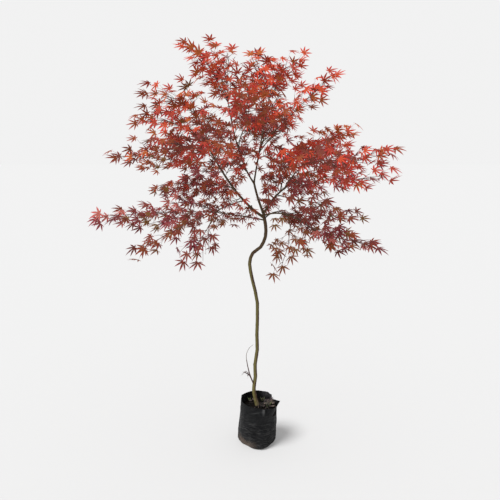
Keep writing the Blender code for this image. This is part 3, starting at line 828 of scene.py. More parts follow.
# Boughs: name, parent, share of the way along the parent, elbow, end, radius at the base and at the tip
BOUGHS = (
    ("centre", "trunk", 1.0, (0.002, 0.006, 1.27), (-0.015, 0.018, 1.35), 0.0062, 0.005),
    ("left", "trunk", 0.975, (-0.105, -0.025, 1.262), (-0.25, -0.06, 1.56), 0.0066, 0.0034),
    ("right", "trunk", 0.99, (0.088, -0.01, 1.33), (0.27, -0.015, 1.395), 0.0054, 0.003),
    ("right_low", "trunk", 0.985, (0.125, -0.035, 1.228), (0.225, -0.065, 1.16), 0.004, 0.0026),
    ("left_low", "trunk", 0.962, (-0.06, 0.055, 1.18), (-0.225, 0.04, 1.205), 0.0034, 0.0024),
    ("back_low", "trunk", 0.97, (0.09, 0.12, 1.215), (0.165, 0.255, 1.17), 0.0036, 0.0024),
    ("centre_left", "centre", 0.97, (-0.095, 0.05, 1.45), (-0.14, 0.07, 1.735), 0.0042, 0.0026),
    ("centre_right", "centre", 0.985, (0.0, 0.0, 1.45), (0.056, -0.02, 1.745), 0.0042, 0.0026),
    ("right_top", "centre_right", 0.48, (0.09, -0.04, 1.59), (0.205, -0.085, 1.715), 0.0028, 0.002),
    ("top_back", "centre_right", 0.62, (0.04, 0.05, 1.68), (0.03, 0.125, 1.77), 0.0026, 0.002),
    ("left_top", "left", 0.86, (-0.235, 0.01, 1.56), (-0.27, 0.04, 1.64), 0.003, 0.0022),
    ("left_mid", "left", 0.66, (-0.205, 0.005, 1.425), (-0.275, 0.02, 1.43), 0.003, 0.0022),
    ("left_back", "left", 0.4, (-0.125, 0.07, 1.325), (-0.185, 0.14, 1.335), 0.003, 0.0022),
    ("left_front", "left", 0.27, (-0.11, -0.085, 1.262), (-0.175, -0.15, 1.235), 0.0032, 0.0024),
    ("left_drop", "left_front", 0.8, (-0.19, -0.21, 1.24), (-0.215, -0.255, 1.175), 0.0022, 0.0018),
    ("right_back", "right", 0.76, (0.19, 0.06, 1.4), (0.24, 0.11, 1.45), 0.003, 0.0022),
    ("right_mid", "right", 0.7, (0.205, -0.07, 1.36), (0.27, -0.125, 1.35), 0.0028, 0.0022),
    ("right_side", "right", 0.36, (0.115, -0.07, 1.292), (0.175, -0.165, 1.28), 0.003, 0.0022),
    ("right_under", "right_low", 0.56, (0.165, 0.03, 1.2), (0.23, 0.105, 1.195), 0.0024, 0.002),
    ("front_left", "left", 0.48, (-0.15, -0.13, 1.39), (-0.18, -0.275, 1.455), 0.0034, 0.0024),
    ("front_right", "right", 0.52, (0.13, -0.13, 1.35), (0.165, -0.275, 1.41), 0.0034, 0.0024),
    ("front_high", "centre_left", 0.42, (-0.09, -0.07, 1.56), (-0.05, -0.215, 1.61), 0.003, 0.0022),
    ("back_left", "centre_left", 0.17, (-0.07, 0.15, 1.41), (-0.145, 0.265, 1.475), 0.0034, 0.0024),
    ("back_right", "right", 0.44, (0.12, 0.12, 1.345), (0.175, 0.265, 1.43), 0.0034, 0.0024),
    ("back_high", "centre_right", 0.24, (0.005, 0.13, 1.48), (0.04, 0.26, 1.57), 0.0034, 0.0024),
    ("inner_left", "left", 0.78, (-0.185, -0.105, 1.49), (-0.165, -0.15, 1.545), 0.0028, 0.0022),
    ("inner_right", "centre_right", 0.36, (0.05, -0.08, 1.56), (0.1, -0.15, 1.58), 0.0028, 0.0022),
    ("right_drop", "right_low", 0.52, (0.15, -0.12, 1.2), (0.15, -0.19, 1.15), 0.0024, 0.002),
)


@dataclass
class Limb:
    """A tapering limb of the frame, with the small swellings of its bark."""

    name: str
    route: Route
    radii: tuple[Span, ...]
    collar: float = 0.0  # how much wider it starts where it grows out of its parent
    step: float = 0.006
    node_gap: float = 0.055
    node_swell: float = 0.07
    node_width: float = 0.0035
    collar_length: float = 2.2  # against the radius at the foot

    def radius(self, share: float) -> float:
        """The plain radius at a share of the way."""
        return read_off(self.radii, share)

    def bark_radius(self, share: float) -> float:
        """The radius with the collar at its foot and a ring at each bud scar.

        Args:
            share: of the way along the limb.

        Returns:
            The radius in metres.
        """
        at = share * length_of(self.route)
        collar = self.collar * math.exp(-at / (self.collar_length * self.radius(0.0)))
        from_node = (at + self.node_gap / 2) % self.node_gap - self.node_gap / 2
        ring = self.node_swell * math.exp(-((from_node / self.node_width) ** 2))
        return self.radius(share) * (1 + collar + ring)


@dataclass
class Framework:
    """The trunk and its boughs, under one skin of bark."""

    limbs: dict[str, Limb] = field(default_factory=dict)
    trunk_sides: int = 20
    bough_sides: int = 12
    bough_steps: int = 12
    bough_collar: float = 0.35
    relief: float = 0.0007
    relief_size: float = 0.012
    knob_share: float = 0.17  # of the left bough: an old pruning cut that has healed over
    knob_way: Place = (0.004, -0.003, 0.012)
    knob_radius: float = 0.0052

    def __post_init__(self) -> None:
        """Works out every limb's route."""
        bends = [Vector((right, back, height)) for height, right, back in TRUNK_BENDS]
        self.limbs["trunk"] = Limb("trunk", through(bends, TRUNK_STEPS), TRUNK_RADII)
        for name, parent, share, elbow, end, base, tip in BOUGHS:
            start = along(self.limbs[parent].route, share)[0]
            route = bent(start, Vector(elbow), Vector(end), self.bough_steps)
            self.limbs[name] = Limb(name, route, ((0.0, base), (1.0, tip)), self.bough_collar)

    def build(self) -> Thing:
        """Builds the bark as one mesh, with its relief.

        Returns:
            The piece that stands for the trunk and the boughs.
        """
        pile = Pile()
        for limb in self.limbs.values():
            sides = self.trunk_sides if limb.name == "trunk" else self.bough_sides
            route = resampled(limb.route, limb.step)
            pile.add(*tube(route, limb.bark_radius, sides))
        root = along(self.limbs["left"].route, self.knob_share)[0]
        knob = [root + Vector(self.knob_way) * reach for reach in (0.0, 0.4, 0.8, 1.0)]
        pile.add(*tube(knob, lambda share: self.knob_radius * math.sqrt(1.04 - share**2), 10))
        piece = pile.build("bark", [BarkFinish().build()])
        clouds = bpy.data.textures.new("bark_relief", "CLOUDS")
        clouds.noise_scale = self.relief_size
        apply_modifier(piece, "DISPLACE", texture=clouds, strength=self.relief, mid_level=0.5)
        nodes = ["trunk", *(f"bough_{name}" for name in self.limbs if name != "trunk")]
        return dress(piece, nodes)


# -------- leaves


@dataclass(frozen=True)
class LeafShape:
    """One way in which a leaf has grown: seven pointed lobes round its stalk, each folded a little."""

    seed: int
    lobes: tuple[Span, ...] = (
        *((-114, 0.40), (-74, 0.76), (-36, 0.94), (0, 1.0)),
        *((36, 0.94), (74, 0.76), (114, 0.40)),
    )
    notch: float = 0.22
    heel: Span = (155, 0.07)  # the corner on each side of the stalk: its angle and how far out it is
    half_width: float = 0.095
    fold: float = 0.30
    sag: float = 0.22
    lobe_turn: float = 4  # degrees either way
    lobe_growth: Span = (0.94, 1.05)
    sag_play: Span = (0.4, 1.6)
    twist: float = 0.12  # at most, either way
    curl: Span = (-0.05, 0.03)
    lobe_corners: int = 7
    # The waist and the shoulder of a lobe: how far out its rib and edges are, and its width, fold and curl
    crossings: tuple[tuple[float, ...], ...] = ((0.50, 0.48, 1.0, 1.0, 0.3), (0.77, 0.76, 0.55, 0.6, 0.7))

    def template(self) -> np.ndarray:
        """Makes a leaf of length 1.

        Returns:
            Its corners as rows of side, forward and up, in the order that faces() counts.
        """
        seeded = random.Random(self.seed)
        turn = self.lobe_turn
        lobes = [
            (math.radians(angle + seeded.uniform(-turn, turn)), reach * seeded.uniform(*self.lobe_growth))
            for angle, reach in self.lobes
        ]
        sag = self.sag * seeded.uniform(*self.sag_play)
        twist = seeded.uniform(-self.twist, self.twist)

        def place(angle: float, reach: float, across: float = 0.0, lift: float = 0.0) -> Place:
            """A point of the blade.

            Args:
                angle: from the middle lobe.
                reach: from the stalk.
                across: how far to the side of that line.
                lift: how far above the sagging blade.

            Returns:
                The point.
            """
            x = reach * math.sin(angle) + across * math.cos(angle)
            y = reach * math.cos(angle) - across * math.sin(angle)
            return x, y, lift - sag * reach**2 + twist * x * abs(y)

        heel, heel_reach = math.radians(self.heel[0]), self.heel[1]
        found = [place(0, 0), place(-heel, heel_reach)]
        for (low, _), (high, _) in zip(lobes, lobes[1:]):
            near_stalk = abs(low + high) > math.radians(150)
            found.append(place((low + high) / 2, self.notch * (0.72 if near_stalk else 1.0), lift=0.03))
        found.append(place(heel, heel_reach))
        for angle, reach in lobes:
            wide = self.half_width * (0.35 + 0.65 * reach)
            curl = seeded.uniform(*self.curl)
            for rib, edge, width, fold, bend in self.crossings:
                lift = self.fold * wide * fold + curl * bend
                found.append(place(angle, reach * rib, 0, curl * bend))
                found += [place(angle, reach * edge, way * wide * width, lift) for way in (-1, 1)]
            found.append(place(angle, reach, 0, curl))
        return np.array(found)

    def lobe_start(self, lobe: int) -> int:
        """The number of a lobe's first corner, after the middle, the notches and the two heels."""
        return 2 + len(self.lobes) + self.lobe_corners * lobe

    def faces(self) -> tuple[Faces, list[bool]]:
        """Lists the blade's faces.

        Returns:
            The faces, and for each whether it belongs to the leaf's heart.
        """
        faces: Faces = []
        heart: list[bool] = []
        for lobe in range(len(self.lobes)):
            left, right = 1 + lobe, 2 + lobe
            corners = range(self.lobe_start(lobe), self.lobe_start(lobe + 1))
            rib, side_left, side_right, rib_out, out_left, out_right, tip = corners
            faces += [(0, left, side_left, rib), (0, rib, side_right, right)]
            faces += [(rib, side_left, out_left, rib_out), (rib, rib_out, out_right, side_right)]
            faces += [(rib_out, out_left, tip), (rib_out, tip, out_right)]
            heart += [True, True, False, False, False, False]
        return faces, heart

    def outline(self) -> list[int]:
        """Lists the corners that stand for the leaf when it is tested for room.

        Returns:
            The lobes' tips, with a notch or a heel before and after each.
        """
        found = [1]
        for lobe in range(len(self.lobes)):
            found += [self.lobe_start(lobe + 1) - 1, 2 + lobe]
        return found


@dataclass
class LeafKit:
    """The few leaf shapes that all leaves are copies of, with what they share."""

    count: int = 10
    shapes: list[np.ndarray] = field(init=False)
    faces: Faces = field(init=False)
    heart: list[bool] = field(init=False)
    outline: list[int] = field(init=False)
    fan: Faces = field(init=False)

    def __post_init__(self) -> None:
        """Makes the shapes."""
        made = [LeafShape(seed) for seed in range(self.count)]
        self.shapes = [shape.template() for shape in made]
        self.faces, self.heart = made[0].faces()
        self.outline = made[0].outline()
        last = len(self.outline)
        self.fan = [(0, index, index + 1) for index in range(1, last)]


@dataclass
class Leaf:
    """A leaf in its place: its root, its stalk, and the frame that its blade lies in."""

    root: Vector
    middle: Vector
    side: Vector
    forward: Vector
    face: Vector
    size: float
    shape: int
    tint: Tint

    def corners(self, kit: LeafKit) -> np.ndarray:
        """The blade's corners in the row's frame."""
        axes = np.array((self.side, self.forward, self.face)) * self.size
        return kit.shapes[self.shape] @ axes + np.array(self.middle)

    def stalk(self, radius: float) -> tuple[Corners, Faces]:
        """The stalk as a thin tube that bows up from the twig to the blade."""
        elbow = self.root.lerp(self.middle, 0.5) + UP * ((self.middle - self.root).length * 0.14)
        return tube([self.root, elbow, self.middle + self.forward * 0.001], lambda _: radius, 3)


# -------- what already takes up space


@dataclass
class Taken:
    """Everything that has grown so far, by the cell of space that it is in."""

    cell: float = 0.08
    layering: float = 1.6
    trees: list[BVHTree] = field(default_factory=list)
    centres: dict[Cell, list[Vector]] = field(default_factory=dict)
    cells: dict[Cell, list[int]] = field(default_factory=dict)

    def reach(self, corners: np.ndarray) -> list[Cell]:
        """The cells that a box round some corners meets.

        Args:
            corners: the corners.

        Returns:
            The cells.
        """
        low = np.floor(corners.min(0) / self.cell).astype(int)
        high = np.floor(corners.max(0) / self.cell).astype(int)
        spans = [range(low[axis], high[axis] + 1) for axis in range(3)]
        return [(x, y, z) for x in spans[0] for y in spans[1] for z in spans[2]]

    def cell_of(self, place: Vector) -> Cell:
        """The cell that a place is in."""
        return tuple(math.floor(value / self.cell) for value in place)

    def crowded(self, centre: Vector, distance: float) -> bool:
        """Is the middle of another leaf too near? Leaves lie in layers, so height counts for more.

        Args:
            centre: the middle of this leaf.
            distance: what there should be between the two.

        Returns:
            Whether another is nearer than that.
        """
        x, y, z = self.cell_of(centre)
        spans = [(a, b, c) for a in (x - 1, x, x + 1) for b in (y - 1, y, y + 1) for c in (z - 1, z, z + 1)]
        near = [other - centre for cell in spans for other in self.centres.get(cell, ())]
        return any(math.hypot(away.x, away.y, away.z * self.layering) < distance for away in near)

    def add(self, corners: np.ndarray, faces: Faces) -> None:
        """Adds a surface.

        Args:
            corners: its corners.
            faces: its faces.
        """
        for cell in self.reach(corners):
            self.cells.setdefault(cell, []).append(len(self.trees))
        self.trees.append(BVHTree.FromPolygons(corners.tolist(), faces))

    def touches(self, corners: np.ndarray, faces: Faces) -> bool:
        """Does a surface cross one that is already there?

        Args:
            corners: its corners.
            faces: its faces.

        Returns:
            Whether it does.
        """
        near = {index for cell in self.reach(corners) for index in self.cells.get(cell, ())}
        if not near:
            return False
        tree = BVHTree.FromPolygons(corners.tolist(), faces)
        return any(tree.overlap(self.trees[index]) for index in near)

    def add_limb(self, route: Route, radius_at: Callable[[float], float], sides: int) -> None:
        """Adds a limb stretch by stretch, so that each is in few cells.

        Args:
            route: its middle line.
            radius_at: its radius for a share of the way.
            sides: how many sides it is tested with.
        """
        last = len(route) - 1
        for index in range(last):
            stretch = route[index : index + 2]
            corners, faces = tube(stretch, lambda share, i=index: radius_at((i + share) / last), sides)
            self.add(np.array(corners), faces)


# -------- foliage

# Foliage: name, bough that carries it, furthest tip, half width, half depth, arch, pairs of shoots, palette
FOLIAGE = (
    ("top_left", "centre_left", (-0.385, 0.04, 2.035), 0.125, 0.11, 0.055, 3, "TOP"),
    ("top_right", "centre_right", (0.24, -0.05, 1.955), 0.13, 0.095, 0.045, 3, "BRIGHT"),
    ("top_back", "top_back", (-0.02, 0.2, 2.03), 0.14, 0.11, 0.0, 3, "TOP_BACK"),
    ("right_top", "right_top", (0.395, -0.12, 1.878), 0.12, 0.048, -0.01, 2, "BRIGHT"),
    ("upper_left", "left", (-0.595, -0.12, 1.645), 0.15, 0.08, 0.02, 3, "RUST"),
    ("left_top", "left_top", (-0.58, 0.06, 1.805), 0.145, 0.088, 0.038, 3, "RUST"),
    ("left_mid", "left_mid", (-0.775, 0.02, 1.483), 0.15, 0.056, 0.016, 3, "DULL_RUST"),
    ("left_low", "left_low", (-0.865, 0.0, 1.176), 0.15, 0.06, 0.0, 3, "FADED"),
    ("left_back", "left_back", (-0.54, 0.4, 1.285), 0.16, 0.065, 0.005, 3, "DARK"),
    ("left_front", "left_front", (-0.6, -0.3, 1.032), 0.112, 0.05, 0.01, 3, "LOW"),
    ("left_drop", "left_drop", (-0.315, -0.37, 0.99), 0.135, 0.088, 0.02, 2, "DROP_LEFT"),
    ("right_back", "right_back", (0.53, 0.14, 1.64), 0.165, 0.094, 0.022, 3, "BRIGHT"),
    ("right", "right", (0.72, -0.01, 1.5), 0.15, 0.065, 0.014, 3, "RIGHT"),
    ("right_mid", "right_mid", (0.66, -0.18, 1.406), 0.125, 0.044, 0.01, 3, "RIGHT"),
    ("right_side", "right_side", (0.345, -0.48, 1.258), 0.1, 0.055, 0.01, 2, "LOW"),
    ("right_low", "right_low", (0.645, -0.06, 1.032), 0.145, 0.055, -0.024, 3, "FADED"),
    ("right_under", "right_under", (0.655, 0.32, 1.15), 0.1, 0.042, -0.018, 2, "FADED"),
    ("right_drop", "right_drop", (0.09, -0.3, 0.92), 0.1, 0.07, 0.02, 2, "DROP_RIGHT"),
    ("back_low", "back_low", (0.37, 0.535, 1.015), 0.125, 0.065, 0.04, 3, "LOW"),
    ("front_left", "front_left", (-0.38, -0.68, 1.53), 0.15, 0.08, 0.03, 3, "MIDDLE"),
    ("front_right", "front_right", (0.33, -0.67, 1.46), 0.145, 0.08, 0.03, 3, "MIDDLE"),
    ("front_high", "front_high", (-0.045, -0.59, 1.76), 0.13, 0.09, 0.012, 3, "FRONT"),
    ("back_left", "back_left", (-0.41, 0.63, 1.622), 0.135, 0.08, 0.03, 3, "DARK"),
    ("back_right", "back_right", (0.4, 0.62, 1.49), 0.17, 0.085, 0.03, 3, "DARK"),
    ("back_high", "back_high", (0.08, 0.64, 1.77), 0.17, 0.09, 0.02, 3, "DARK"),
    ("inner_left", "inner_left", (-0.262, -0.42, 1.655), 0.105, 0.08, 0.01, 2, "MIDDLE"),
    ("inner_right", "inner_right", (0.12, -0.36, 1.68), 0.1, 0.085, 0.01, 2, "MIDDLE"),
)
FIRST_SEED = 707
STEM_MARKS = 8

# Small sprays inside the crown: bough, share of the way along it, furthest tip, half width, half depth,
# pairs of shoots, palette
INNER = (
    ("centre_left", 0.3, (-0.01, -0.13, 1.58), 0.09, 0.06, 2, "MIDDLE"),
    ("centre_right", 0.28, (0.11, -0.14, 1.53), 0.09, 0.06, 2, "MIDDLE"),
    ("centre_right", 0.52, (0.11, 0.12, 1.65), 0.08, 0.06, 2, "MIDDLE"),
    ("centre_left", 0.62, (-0.03, -0.1, 1.74), 0.1, 0.07, 2, "MIDDLE"),
    ("centre_right", 0.8, (-0.05, -0.08, 1.9), 0.1, 0.07, 2, "TOP"),
    ("centre_left", 0.78, (-0.06, 0.19, 1.78), 0.09, 0.06, 2, "MIDDLE"),
    ("left", 0.58, (-0.07, -0.15, 1.5), 0.08, 0.06, 2, "MIDDLE"),
    ("left", 0.45, (-0.23, 0.11, 1.31), 0.09, 0.06, 2, "DARK"),
    ("left", 0.32, (-0.15, -0.19, 1.25), 0.09, 0.055, 2, "DARK"),
    ("left_low", 0.3, (-0.1, -0.1, 1.18), 0.08, 0.045, 2, "DARK"),
    ("left_low", 0.6, (-0.25, -0.11, 1.15), 0.09, 0.045, 2, "LOW"),
    ("left_low", 0.75, (-0.3, 0.22, 1.235), 0.08, 0.045, 2, "DARK"),
    ("right", 0.42, (0.05, -0.16, 1.4), 0.08, 0.055, 2, "MIDDLE"),
    ("right", 0.58, (0.18, -0.2, 1.3), 0.09, 0.055, 2, "DARK"),
    ("right", 0.7, (0.3, 0.14, 1.3), 0.09, 0.055, 2, "DARK"),
    ("right", 0.34, (0.1, 0.16, 1.45), 0.08, 0.055, 2, "DARK"),
    ("right_low", 0.75, (0.3, 0.06, 1.12), 0.09, 0.05, 2, "LOW"),
    ("left_top", 0.4, (-0.255, -0.02, 1.765), 0.09, 0.06, 2, "RUST"),
    ("right_top", 0.6, (0.245, -0.04, 1.805), 0.09, 0.045, 2, "BRIGHT"),
    ("right_top", 0.85, (0.33, -0.1, 1.73), 0.08, 0.045, 2, "TOP"),
    ("right_back", 0.7, (0.275, 0.05, 1.6), 0.085, 0.045, 2, "BRIGHT"),
    ("centre_left", 0.2, (-0.1, -0.09, 1.59), 0.08, 0.055, 2, "MIDDLE"),
    ("left_low", 0.85, (-0.34, -0.02, 1.27), 0.09, 0.045, 2, "DARK"),
    ("left_low", 0.95, (-0.555, 0.05, 1.335), 0.09, 0.045, 2, "FADED"),
    ("right_mid", 0.7, (0.33, -0.09, 1.37), 0.08, 0.045, 2, "RIGHT"),
    ("right_low", 0.9, (0.262, -0.12, 0.985), 0.08, 0.05, 2, "DROP_RIGHT"),
    ("right_low", 0.5, (0.095, -0.11, 1.13), 0.06, 0.03, 1, "DROP_RIGHT"),
    ("centre_left", 0.98, (-0.215, 0.03, 2.04), 0.09, 0.07, 2, "TOP"),
    ("centre_left", 0.99, (-0.13, 0.02, 2.02), 0.08, 0.06, 2, "TOP"),
    ("top_back", 0.9, (-0.05, 0.06, 2.025), 0.1, 0.06, 2, "TOP"),
    ("centre_right", 0.85, (0.16, -0.02, 1.805), 0.08, 0.05, 2, "TOP"),
    ("left_top", 0.95, (-0.575, 0.0, 1.715), 0.09, 0.045, 2, "RUST"),
    ("right_top", 0.35, (0.205, -0.05, 1.57), 0.08, 0.05, 2, "RIGHT"),
    ("right_back", 0.95, (0.47, 0.14, 1.55), 0.09, 0.04, 2, "BRIGHT"),
    ("left", 0.12, (-0.11, -0.06, 1.215), 0.06, 0.035, 1, "DARK"),
    ("right", 0.25, (0.09, -0.08, 1.25), 0.06, 0.035, 1, "DARK"),
    ("left_low", 1.0, (-0.66, 0.03, 1.125), 0.09, 0.045, 2, "FADED"),
    ("left_top", 0.95, (-0.385, 0.03, 1.87), 0.08, 0.04, 2, "RUST"),
    ("left_top", 0.6, (-0.195, -0.02, 1.735), 0.075, 0.05, 2, "RUST"),
    ("right_top", 0.45, (0.235, -0.04, 1.835), 0.1, 0.06, 2, "BRIGHT"),
    ("right_back", 0.55, (0.3, 0.06, 1.63), 0.08, 0.045, 2, "BRIGHT"),
    ("right_back", 0.85, (0.395, 0.09, 1.63), 0.08, 0.05, 2, "BRIGHT"),
    ("right_top", 0.25, (0.15, -0.03, 1.6), 0.07, 0.045, 2, "BRIGHT"),
    ("centre_left", 0.99, (-0.235, -0.06, 2.035), 0.08, 0.06, 2, "TOP"),
    ("centre_left", 0.99, (-0.14, -0.06, 2.02), 0.08, 0.06, 2, "TOP"),
    ("top_back", 0.95, (0.02, 0.04, 2.01), 0.08, 0.06, 2, "TOP"),
    ("centre_left", 1.0, (-0.09, -0.02, 2.005), 0.07, 0.055, 2, "TOP"),
    ("centre_left", 0.25, (-0.05, 0.06, 1.44), 0.06, 0.045, 2, "DARK"),
    ("centre_right", 0.18, (0.06, 0.06, 1.42), 0.06, 0.045, 2, "DARK"),
    ("left", 0.5, (-0.01, -0.04, 1.42), 0.06, 0.045, 1, "DARK"),
    ("left_back", 0.5, (-0.47, 0.12, 1.345), 0.08, 0.06, 2, "DARK"),
    ("left_drop", 0.98, (-0.22, -0.33, 1.06), 0.08, 0.07, 2, "DROP_LEFT"),
    ("centre_right", 0.1, (0.02, -0.04, 1.4), 0.06, 0.045, 1, "DARK"),
    ("centre_right", 0.22, (0.03, -0.05, 1.455), 0.06, 0.045, 1, "DARK"),
    ("right", 0.62, (0.145, 0.03, 1.56), 0.075, 0.045, 2, "MIDDLE"),
    ("right", 0.3, (0.035, -0.06, 1.31), 0.06, 0.045, 2, "DARK"),
    ("left_mid", 0.9, (-0.64, 0.02, 1.57), 0.08, 0.04, 2, "RUST"),
    ("left_mid", 1.0, (-0.545, -0.01, 1.61), 0.07, 0.036, 1, "RUST"),
    ("left", 0.62, (-0.235, -0.08, 1.39), 0.07, 0.045, 2, "MIDDLE"),
    ("right_mid", 0.3, (0.245, -0.05, 1.37), 0.07, 0.04, 2, "RIGHT"),
    ("centre_left", 0.34, (-0.075, -0.06, 1.6), 0.07, 0.05, 2, "MIDDLE"),
    ("left_back", 0.6, (-0.43, 0.16, 1.27), 0.08, 0.035, 2, "DARK"),
    ("front_left", 0.55, (-0.3, -0.3, 1.415), 0.08, 0.05, 2, "DARK"),
    ("front_left", 0.8, (-0.07, -0.32, 1.52), 0.09, 0.06, 2, "MIDDLE"),
    ("front_right", 0.55, (0.31, -0.27, 1.32), 0.09, 0.06, 2, "DARK"),
    ("front_right", 0.8, (0.07, -0.32, 1.5), 0.09, 0.06, 2, "MIDDLE"),
    ("front_high", 0.6, (0.07, -0.26, 1.7), 0.09, 0.06, 2, "MIDDLE"),
    ("front_high", 0.8, (-0.14, -0.3, 1.66), 0.09, 0.05, 2, "MIDDLE"),
    ("back_left", 0.6, (-0.34, 0.28, 1.41), 0.09, 0.06, 2, "DARK"),
    ("back_left", 0.85, (-0.03, 0.34, 1.53), 0.09, 0.06, 2, "DARK"),
    ("back_right", 0.6, (0.34, 0.27, 1.35), 0.09, 0.06, 2, "DARK"),
    ("back_right", 0.85, (0.06, 0.31, 1.44), 0.09, 0.06, 2, "DARK"),
    ("back_high", 0.6, (0.11, 0.28, 1.7), 0.09, 0.06, 2, "DARK"),
    ("back_high", 0.8, (-0.14, 0.29, 1.71), 0.09, 0.06, 2, "DARK"),
    ("centre_right", 0.95, (0.09, -0.26, 1.88), 0.09, 0.06, 2, "TOP"),
    ("centre_left", 0.98, (-0.28, -0.16, 1.965), 0.08, 0.06, 2, "TOP"),
    ("top_back", 0.9, (0.15, 0.28, 1.9), 0.1, 0.06, 2, "TOP_BACK"),
    ("centre_left", 0.98, (-0.27, 0.26, 1.97), 0.09, 0.06, 2, "TOP_BACK"),
    ("back_low", 0.7, (0.02, 0.33, 1.29), 0.08, 0.045, 2, "DARK"),
    ("back_low", 0.9, (0.33, 0.4, 1.09), 0.09, 0.045, 2, "DARK"),
    ("left_back", 0.9, (-0.22, 0.4, 1.26), 0.1, 0.05, 2, "DARK"),
    ("right_low", 0.97, (0.47, 0.03, 0.972), 0.1, 0.05, 2, "FADED"),
)


@dataclass(frozen=True)
class Rule:
    """How foliage grows: the frame's own rule, with more pairs, finer twigs and leaves of real size."""

    box: list[list[float]]  # the frame's least and greatest corner, which the leaves keep within
    first_pair: float = 0.10
    pairs_for_one: float = 2.6  # pairs of shoots for each pair in the frame
    shoot_angle: float = math.radians(50)
    shoot_droop: float = 0.12
    pair_turn: float = math.radians(58)
    jitter: float = math.radians(16)
    spread_at_tip: float = 0.34
    swell_at_foot: float = 0.30
    shortest_shoot: float = 0.035
    shoot_growth: Span = (0.80, 1.08)  # against the room there is
    leaf_margin: float = 0.9  # left free at a shoot's end, against the leaves' length
    node_gap: float = 1.0  # between the pairs along a shoot, against the leaves' length
    twiglet_length: Span = (0.65, 1.25)  # against the leaves' length
    twiglet_share: float = 0.50  # of the nodes of a shoot that bear twiglets and not bare pairs
    behind_foot: float = 0.20
    hanging_room: float = 0.018
    inner_leaf: float = 0.037
    outer_leaf: float = 0.064
    leaf_spread: float = 0.10  # each leaf's own size, as a share either way
    heart: Place = (-0.05, 0.0, 1.42)
    reach: float = 0.80  # from the heart of the crown to its outermost leaves
    front_from: float = 0.38  # metres in front of the trunk where the leaves begin to get smaller
    front_shrink: float = 1.50  # for each metre beyond that, where the leaves are the youngest
    stalk: Span = (0.45, 0.75)  # against the leaf's length
    stalk_rise: float = 0.25
    outwards: float = 1.4  # how far a leaf turns away from the trunk, against its own twig's direction
    droop: Span = (0.00, 0.80)  # how far it hangs
    face_tilt: Span = (0.45, 1.20)  # radians above level
    face_spread: float = 0.60
    front_share: float = 0.68  # of leaves whose upper face looks more to the front than to the back
    elbow_room: Span = (1.18, 0.84)  # between the middles of leaves, inside the crown and far out
    tries: int = 12
    shoot_radius: Span = (0.0012, 0.0007)
    twiglet_radius: Span = (0.0008, 0.0005)
    stem_tip: float = 0.0011
    sway: float = 0.012  # how far a stem strays from its plain arch
    sway_rate: float = 9
    own_tint: float = 0.68  # of the leaves, which have their shoot's own tint
    stalk_radius: float = 0.0004

    def away(self, place: Vector) -> float:
        """How far out a place is in the crown, as a share of its reach."""
        return min(1.0, (place - Vector(self.heart)).length / self.reach)

    def elbow(self, place: Vector) -> float:
        """The least distance between the middles of leaves at a place, against their length."""
        return self.elbow_room[0] + (self.elbow_room[1] - self.elbow_room[0]) * self.away(place)

    def leaf_size(self, place: Vector) -> float:
        """The usual length of a leaf's blade at a place in the crown."""
        grown = self.inner_leaf + (self.outer_leaf - self.inner_leaf) * self.away(place) ** 1.5
        return grown * (1 - self.front_shrink * max(0.0, -place.y - self.front_from))


@dataclass
class Twig:
    """A twig: its route and its radii at the foot and at the tip."""

    route: Route
    radii: Span
    sides: int
    parent: Twig | None = None
    bears: bool = False

    def radius(self, share: float) -> float:
        """The radius at a share of the way."""
        return self.radii[0] + (self.radii[1] - self.radii[0]) * share

    def bear(self) -> None:
        """Notes that a leaf grows on this twig, and so on what carries it."""
        self.bears = True
        if self.parent:
            self.parent.bear()


@dataclass
class Bud:
    """A place for a leaf: its twig, where its stalk starts, which way that points, and its shoot's tint."""

    twig: Twig
    root: Vector
    outward: Vector
    tint: Tint
    tip: bool = False


